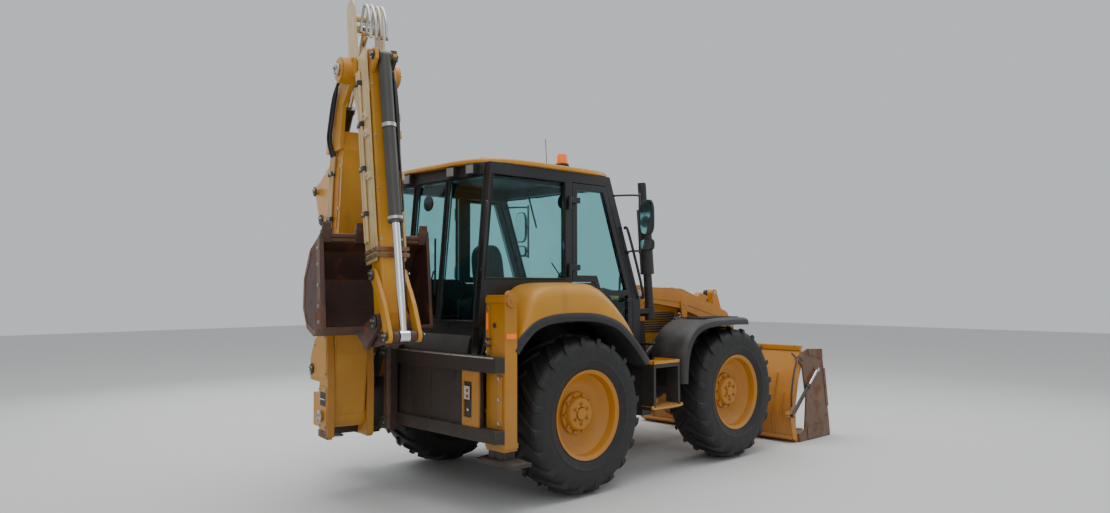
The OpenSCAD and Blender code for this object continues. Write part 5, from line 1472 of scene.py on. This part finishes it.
def makeKingpost():
    post, spots = Shape(hoePlace), []
    for s in (-1, 1):
        a, b = s * 0.1905, s * 0.1985
        post.paint("bodyYellow")
        post.plate([(0.128, 0.575), (0.312, 0.575), (0.320, 0.930), (0.128, 0.930)], a, b)
        post.plate([(-0.118, 0.985), (0.318, 1.010), (0.284, 1.372), (0.196, 1.412), (-0.022, 1.278),
                    (-0.118, 1.140)], a, b)
        # Flat dark plate that paints the shade of a pocket, with its lock pin
        post.paint("castDark")
        post.plate([(0.158, 0.770), (0.296, 0.770), (0.298, 0.885), (0.158, 0.885)], s * 0.199 - 0.0008,
                   s * 0.199 + 0.0008)
        post.paint("zincSteel")
        post.rod((0.170, s * 0.204, 0.826), (0.286, s * 0.204, 0.826), 0.0045, 12, 0.001)
        post.paint("wornBucket")
        post.plate([(0.108, 0.503), (0.332, 0.503), (0.332, 0.560), (0.108, 0.560)], a, b)
        pinCap(post, spots, 0.200, 0.680, s * 0.2145, 0.052, 0.016, "zincSteel")
        pinCap(post, spots, -0.060, 1.060, s * 0.199, 0.046, 0.014)
        # Strip on the outward face in the darker yellow: painted shade of that face
        post.paint("shadedYellow")
        post.plate(ribbon([(0.334, 0.520), (0.342, 0.990), (0.303, 1.395)], 0.016), s * 0.170 - 0.030,
                   s * 0.170 + 0.030)
        spots += [((u, s * 0.1985, z), (0, s, 0)) for u, z in
                  ((0.150, 0.600), (0.292, 0.600), (0.150, 0.905), (0.296, 0.905), (-0.090, 1.010),
                   (0.290, 1.040), (0.262, 1.350), (0.010, 1.270))]
    post.paint("zincSteel")
    post.lathe((0, 0, 0.468), (0, 0, 1), [(0, 0.058), (0.010, 0.058), (0.014, 0.052), (0.014, 0.010)], 28)
    post.make("kingpostDetails", "kingpost", bevel=0.002)
    bolts("kingpostBolts", "kingpost", spots, hoePlace, radius=0.010, height=0.008)


def makeCarriage():
    slide, spots = Shape(), []
    rear = -1.1205
    for y, wide in ((0.168, 0.062), (0.870, 0.062)):
        slide.paint("wornBucket")
        slide.box((rear - 0.030, y, 0.545), (rear, y + wide, 1.250))
        slide.paint("castDark")
        for z in (0.560, 1.150):
            slide.box((rear - 0.062, y - 0.001, z), (rear - 0.0305, y + wide + 0.001, z + 0.085))
            spots += [((rear - 0.062, y + wide / 2 + k, z + 0.0425), (-1, 0, 0)) for k in (-0.016, 0.016)]
    # Gussets over the upper lug
    slide.paint("rustyRail")
    for y in (0.462, 0.626):
        slide.plate([(rear, 0.9405), (rear - 0.046, 0.9405), (rear - 0.044, 0.950), (rear - 0.010, 1.010),
                     (rear, 1.010)], y, y + 0.014)
    # Plates in the darker yellow: painted shade of these rear faces
    slide.paint("shadedYellow")
    slide.box((rear - 0.008, 0.250, 0.980), (rear - 0.0005, 0.440, 1.180))
    slide.box((rear - 0.008, 0.664, 0.980), (rear - 0.0005, 0.850, 1.180))
    spots += [((rear - 0.008, y, z), (-1, 0, 0)) for y in (0.270, 0.420, 0.684, 0.830)
              for z in (1.000, 1.160)]
    slide.make("carriageDetails", "carriage", bevel=0.002)
    bolts("carriageBolts", "carriage", spots, radius=0.011)
    lines = []
    for k in range(4):
        y = 0.268 + 0.026 * k
        lines.append([(rear + 0.020, y, 1.285), (rear - 0.004, y, 1.288), (rear - 0.017, y + 0.004, 1.250),
                      (rear - 0.017, y + 0.012, 1.200), (rear - 0.017, y + 0.050 + 0.01 * k, 1.060),
                      (rear - 0.012, y + 0.085, 0.985)])
    hoses("carriageHoses", "carriage", lines, radius=hoeValues["hose"])


def makeBoom():
    v = hoeValues
    boom, spots = Shape(hoePlace), []
    half = v["boomHalf"]
    outerEdge = [(0.306, 0.720), (0.329, 0.905), (0.362, 1.200), (0.362, 1.500), (0.394, 2.150),
                 (0.452, 2.500), (0.495, 2.840)]
    innerEdge = [(0.175, 2.860), (0.102, 2.600), (0.072, 2.150), (0.072, 1.200), (0.097, 0.900)]
    for s in (-1, 1):
        a, b = s * half, s * (half + 0.008)
        boom.paint("bodyYellow")
        boom.plate(ribbon(outerEdge, -0.030), a, b)
        boom.plate(ribbon(innerEdge, -0.030), a, b)
        c, d = s * half, s * (half + 0.004)
        boom.paint("loaderOrange")
        boom.plate([(0.150, 1.260), (0.290, 1.260), (0.300, 1.700), (0.318, 2.120), (0.160, 2.120)], c, d)
        boom.plate([(0.175, 2.260), (0.340, 2.260), (0.390, 2.600), (0.400, 2.760), (0.230, 2.760)], c, d)
        pinCap(boom, spots, -0.140, 2.360, s * 0.1055, 0.048, 0.014)
        pinCap(boom, spots, -0.240, 2.620, s * 0.1305, 0.044, 0.014)
        pinCap(boom, spots, 0.690, 3.500, s * 0.2555, 0.052, 0.016, "zincSteel")
        boom.paint("bodyYellow")
        boom.lathe((0.690, s * 0.2405, 3.500), (0, s, 0),
                   [(0, 0.098), (0.006, 0.098), (0.010, 0.092), (0.010, 0.046)], 32)
        # Rib round the nose fork
        c, d = s * 0.164, s * 0.170
        boom.plate(ribbon([(0.205, 3.150), (0.392, 3.448), (0.602, 3.606), (0.782, 3.578)], 0.026), c, d)
        spots += [((u, s * (half + 0.008), z), (0, s, 0)) for u, z in
                  ((0.330, 1.300), (0.336, 1.600), (0.352, 1.900), (0.412, 2.420), (0.462, 2.760))]
    # Clamps over the steel lines, and the wear plate on the outer face
    boom.paint("castDark")
    for z, u in ((1.250, 0.140), (1.800, 0.143), (2.320, 0.164), (2.700, 0.202)):
        boom.box((u, -0.168, z), (u + 0.108, -half, z + 0.036))
        spots += [((u + k, -0.168, z + 0.018), (0, -1, 0)) for k in (0.020, 0.088)]
    boom.paint("bodyYellow")
    boom.plate(ribbon([(0.360, 1.220), (0.360, 1.500), (0.391, 2.130)], 0.006), -0.095, 0.095)
    boom.make("boomDetails", "boom", bevel=0.002)
    bolts("boomBolts", "boom", spots, hoePlace, radius=0.010, height=0.008)
    lines = []
    for k in range(4):
        u = 0.026 * k
        lines.append([(0.155 + u, -0.150, 1.000), (0.150 + u, -0.150, 1.400), (0.160 + u, -0.150, 2.150),
                      (0.200 + u, -0.150, 2.600), (0.250 + 0.030 * k, -0.150, 2.860)])
    # Steel lines in the pale cream of the painted sky highlight
    hoses("boomLines", "boom", lines, hoePlace, radius=v["line"], material="fadedSkyLitCream")
    loops = []
    for k in range(4):
        w = -0.182 - 0.014 * (k % 2)
        loops.append([(0.250 + 0.030 * k, -0.150, 2.860), (0.262 + 0.030 * k, w, 2.990),
                      (0.300 + 0.032 * k, w, 3.150), (0.390 + 0.026 * k, w, 3.330),
                      (0.470 + 0.016 * k, -0.186, 3.410 + 0.015 * k),
                      (0.540 + 0.006 * k, -0.176, 3.450 + 0.028 * k)])
    hoses("boomHoses", "boom", loops, hoePlace, radius=v["hose"])


def makeStick():
    v = hoeValues
    stick, spots, out = Shape(hoePlace), [], v["channelOut"]
    for s in (-1, 1):
        # Stick plates in the pale cream: yellow paint with a painted sky highlight, partly sun fading
        stick.paint("fadedSkyLitCream")
        a, b = s * out, s * (out + 0.007)
        stick.plate(stickOutline([(0.030, 0.238), (1.560, 0.238), (1.590, 0.226), (1.590, 0.248),
                                  (1.566, 0.266), (0.030, 0.266)]), a, b)
        stick.plate(stickOutline([(0.440, 0.064), (1.590, 0.064), (1.590, 0.086), (0.440, 0.086)]), a, b)
        # Low strips and a flat cap at the head, which turns between the cheeks of the boom's nose
        a, b = s * out, s * (out + 0.003)
        stick.plate(stickOutline([(-0.520, -0.074), (-0.100, -0.086), (-0.100, -0.064), (-0.520, -0.052)]), a,
                    b)
        stick.plate(stickOutline([(-0.520, 0.052), (-0.110, 0.064), (-0.110, 0.086), (-0.520, 0.074)]), a, b)
        # Collars at the lower end
        stick.paint("wornBucket")
        a, b = s * out, s * (out + 0.014)
        for top in (1.500, 1.548):
            stick.plate(stickOutline([(top, 0.060), (top + 0.030, 0.060), (top + 0.030, 0.300),
                                      (top, 0.300)]), a, b)
            spots += [(onStick(top + 0.015, t, s * (out + 0.014)), (0, s, 0)) for t in (0.105, 0.225)]
        # Clamp brackets at the outer edge, in the pale cream of the painted sky highlight
        stick.paint("fadedSkyLitCream")
        a, b = s * out, s * (out + 0.022)
        for top in (0.420, 0.560, 0.900):
            stick.plate(stickOutline([(top, 0.190), (top + 0.060, 0.190), (top + 0.060, 0.272),
                                      (top, 0.272)]), a, b)
            spots.append((onStick(top + 0.030, 0.214, s * (out + 0.022)), (0, s, 0)))
        # Steel lines with their clamps
        stick.paint("castDark")
        a, b = s * out, s * (out + 0.036)
        for top in (0.140, 0.480, 0.840, 1.200):
            stick.plate(stickOutline([(top, 0.092), (top + 0.036, 0.092), (top + 0.036, 0.176),
                                      (top, 0.176)]), a, b)
            spots.append((onStick(top + 0.018, 0.134, s * (out + 0.036)), (0, s, 0)))
        pinCap(stick, [], *onStick(-0.380, 0)[::2], s * (out + 0.0005), 0.044, 0.004)
    stick.paint("wornBucket")
    for top in (1.500, 1.548):
        stick.plate(stickOutline([(top, 0.287), (top + 0.030, 0.287), (top + 0.030, 0.300), (top, 0.300)]),
                    -out, out)
    stick.make("stickDetails", "stick", bevel=0.002)
    bolts("stickBolts", "stick", spots, hoePlace, radius=0.009, height=0.008)
    # Steel lines in the pale cream of the painted sky highlight
    lines = [[onStick(top, t, s * 0.139) for top in (0.060, 0.300, 0.700, 1.100, 1.440)]
             for s in (-1, 1) for t in (0.112, 0.156)]
    hoses("stickLines", "stick", lines, hoePlace, radius=v["line"] + 0.003, material="fadedSkyLitCream")
    # Hoses that arch over the head of the stick
    arches = []
    for k in range(4):
        w = -0.066 + 0.044 * k
        arches.append([onStick(-0.330, 0.070, w), onStick(-0.420, 0.100, w),
                       onStick(-0.505 - 0.008 * (k % 2), 0.160, w), onStick(-0.470, 0.230, w),
                       onStick(-0.340, 0.262 + 0.010 * (k % 2), w), onStick(-0.190, 0.268, w)])
    hoses("stickArches", "stick", arches, hoePlace, radius=0.012, material="zincSteel", sides=14)


def makeSlider():
    v = hoeValues
    slider, spots = Shape(hoePlace), []
    slider.paint("bodyYellow")
    for s in (-1, 1):
        a, b = s * 0.070, s * 0.092
        slider.plate(stickOutline([(-0.080, 0.2805), (1.990, 0.2805), (1.990, 0.2840), (-0.080, 0.2840)]), a,
                     b)
        # Bracket that holds the foot of the ram
        c, d = s * 0.0605, s * 0.0905
        slider.plate(stickOutline([(-0.070, 0.284), (0.110, 0.284), (0.060, 0.345), (0.030, 0.392),
                                   (-0.050, 0.392), (-0.070, 0.350)]), c, d)
        pinCap(slider, spots, *onStick(-0.010, 0.350)[::2], s * 0.0910, 0.038, 0.012)
    for s in (-1, 1):
        pinCap(slider, spots, *onStick(2.058, 0.190)[::2], s * 0.1355, 0.046, 0.014)
    slider.make("sliderDetails", "stick_slider", bevel=0.0015)
    bolts("sliderPinBolts", "stick_slider", spots, hoePlace, radius=0.008, height=0.007)
    out = (math.cos(math.radians(v["lean"])), 0, math.sin(math.radians(v["lean"])))
    dots = [(onStick(top, 0.284, w), out) for top in (0.200, 0.620, 1.040, 1.440) for w in (-0.081, 0.081)]
    bolts("sliderBolts", "stick_slider", dots, hoePlace, radius=0.0075, height=0.006)
    lines = []
    for k in range(4):
        w, t = 0.072 + 0.010 * (k % 2), 0.318 + 0.021 * (k // 2) + 0.003 * (k % 2)
        lines.append([onStick(0.130, t - 0.030, w - 0.010), onStick(0.200, t, w),
                      onStick(0.450, t + 0.012, w + 0.004 * (k % 2)), onStick(0.700, t + 0.004, w),
                      onStick(0.900, t - 0.010, w - 0.004)])
    hoses("sliderHoses", "stick_slider", lines, hoePlace, radius=v["hose"])


def makeRamDetails():
    ram = Shape(hoePlace)
    base, eye = Vector(onStick(-0.010, 0.350)), Vector(onStick(2.190, 0.400))
    along = (eye - base).normalized()
    ram.paint("zincSteel")
    ram.lathe(base + along * 0.560, along, [(0, 0.051), (0, 0.057), (0.030, 0.057), (0.030, 0.051)], 28,
              loop=True)
    ram.lathe(base + along * 1.300, along, [(0, 0.0585), (0, 0.0625), (0.022, 0.0625), (0.022, 0.0585)], 28,
              loop=True)
    ram.paint("castDark")
    for at in (0.130, 1.240):
        spot = base + along * at
        ram.lathe(spot + Vector((0, 0.046, 0)), (0, 1, 0),
                  [(0, 0.016), (0.020, 0.016), (0.024, 0.012), (0.024, 0.003)], 16)
    ram.make("hoeRamDetails", "hoe_barrel", bevel=0.0)
    pipe = [base + along * at + Vector((u, w, 0)) for at, u, w in
            ((0.130, 0, 0.064), (0.200, 0.004, 0.068), (0.700, 0.004, 0.068), (1.180, 0.004, 0.068),
             (1.240, 0, 0.064))]
    hoses("hoeRamPipe", "hoe_barrel", [pipe], hoePlace, radius=0.008, material="hoseRubber")


def makeLinks():
    links, spots = Shape(hoePlace), []
    for s in (-1, 1):
        a, b = s * 0.1305, s * 0.1355
        links.paint("bodyYellow")
        edge = stickOutline([(1.740, 0.232), (1.850, 0.300), (1.960, 0.352), (2.080, 0.392), (2.160, 0.410)])
        links.plate(ribbon(edge, -0.014), a, b)
        pinCap(links, spots, *onStick(1.700, 0.190)[::2], s * 0.1355, 0.042, 0.014)
    links.make("sideLinkDetails", "side_links", bevel=0.0015)
    bolts("sideLinkBolts", "side_links", spots, hoePlace, radius=0.008, height=0.007)
    links, spots = Shape(hoePlace), []
    for s in (-1, 1):
        pinCap(links, spots, *onStick(2.190, 0.400)[::2], s * 0.1405, 0.034, 0.012)
        links.paint("rustyRail")
        a, b = s * 0.0905, s * 0.0955
        links.plate(stickOutline([(2.176, 0.060), (2.202, 0.060), (2.203, 0.330), (2.177, 0.330)]), a, b)
    links.make("powerLinkDetails", "power_link", bevel=0.0015)
    bolts("powerLinkBolts", "power_link", spots, hoePlace, radius=0.007, height=0.006)


def makeHoeBucket():
    v = hoeValues
    bucket, spots = Shape(hoePlace), []
    shell = [(0.900, 2.170), (0.660, 2.060), (0.500, 1.830), (0.485, 1.590), (0.590, 1.440), (0.760, 1.385),
             (0.985, 1.440)]
    half = v["bucketHalf"]
    for s in (-1, 1):
        a, b = s * half, s * (half + 0.004)
        bucket.paint("wornBucket")
        bucket.plate([(0.828, 2.120), (0.892, 2.150), (0.952, 1.452), (0.890, 1.440), (0.856, 1.660),
                      (0.838, 1.900)], a, b)
        bucket.plate(ribbon([(0.650, 2.044), (0.508, 1.826), (0.494, 1.596), (0.594, 1.450), (0.758, 1.395),
                             (0.906, 1.430)], -0.040),
                     a, b)
        spots += [((u, b, z), (0, s, 0)) for u, z in
                  ((0.862, 2.060), (0.868, 1.940), (0.880, 1.780), (0.892, 1.620), (0.898, 1.500))]
    # Wear strips on the back of the shell
    bucket.paint("wornBucket")
    for i, spans in ((0, ((0.30, 0.52),)), (1, ((0.10, 0.30), (0.62, 0.82))), (2, ((0.25, 0.55),)),
                     (3, ((0.20, 0.50),)), (4, ((0.25, 0.50),))):
        p, q = Vector(shell[i]), Vector(shell[i + 1])
        along = (q - p).normalized()
        away = Vector((-along.y, along.x))
        if away.dot((p + q) / 2 - Vector((0.98, 1.70))) < 0:
            away = -away
        for low, high in spans:
            m, n = p + (q - p) * low, p + (q - p) * high
            strip = [m - away * 0.001, n - away * 0.001, n + away * 0.008, m + away * 0.008]
            bucket.plate([tuple(corner) for corner in strip], -half + 0.02, half - 0.02)
    # Lip and tooth adapters
    bucket.plate([(0.842, 2.108), (0.878, 2.120), (0.902, 2.172), (0.894, 2.178), (0.846, 2.152)],
                 -half + 0.001, half - 0.001)
    bucket.paint("darkBucket")
    for i in range(4):
        w = -half + 0.05 + i * (2 * half - 0.1) / 3
        bucket.plate([(0.846, 2.112), (0.884, 2.106), (0.916, 2.178), (0.913, 2.214), (0.866, 2.196)],
                     w - 0.040, w + 0.040)
        bucket.plate([(0.892, 2.210), (0.909, 2.214), (0.906, 2.259), (0.896, 2.259)], w - 0.0325, w + 0.0325)
    for s in (-1, 1):
        pinCap(bucket, spots, 1.210, 1.500, s * 0.1355, 0.040, 0.012)
    bucket.make("hoeBucketDetails", "hoe_bucket", bevel=0.002)
    bolts("hoeBucketBolts", "hoe_bucket", spots, hoePlace, radius=0.011, height=0.006)


makeKingpost()
makeCarriage()
makeBoom()
makeStick()
makeSlider()
makeRamDetails()
makeLinks()
makeHoeBucket()
print("hoe ready")
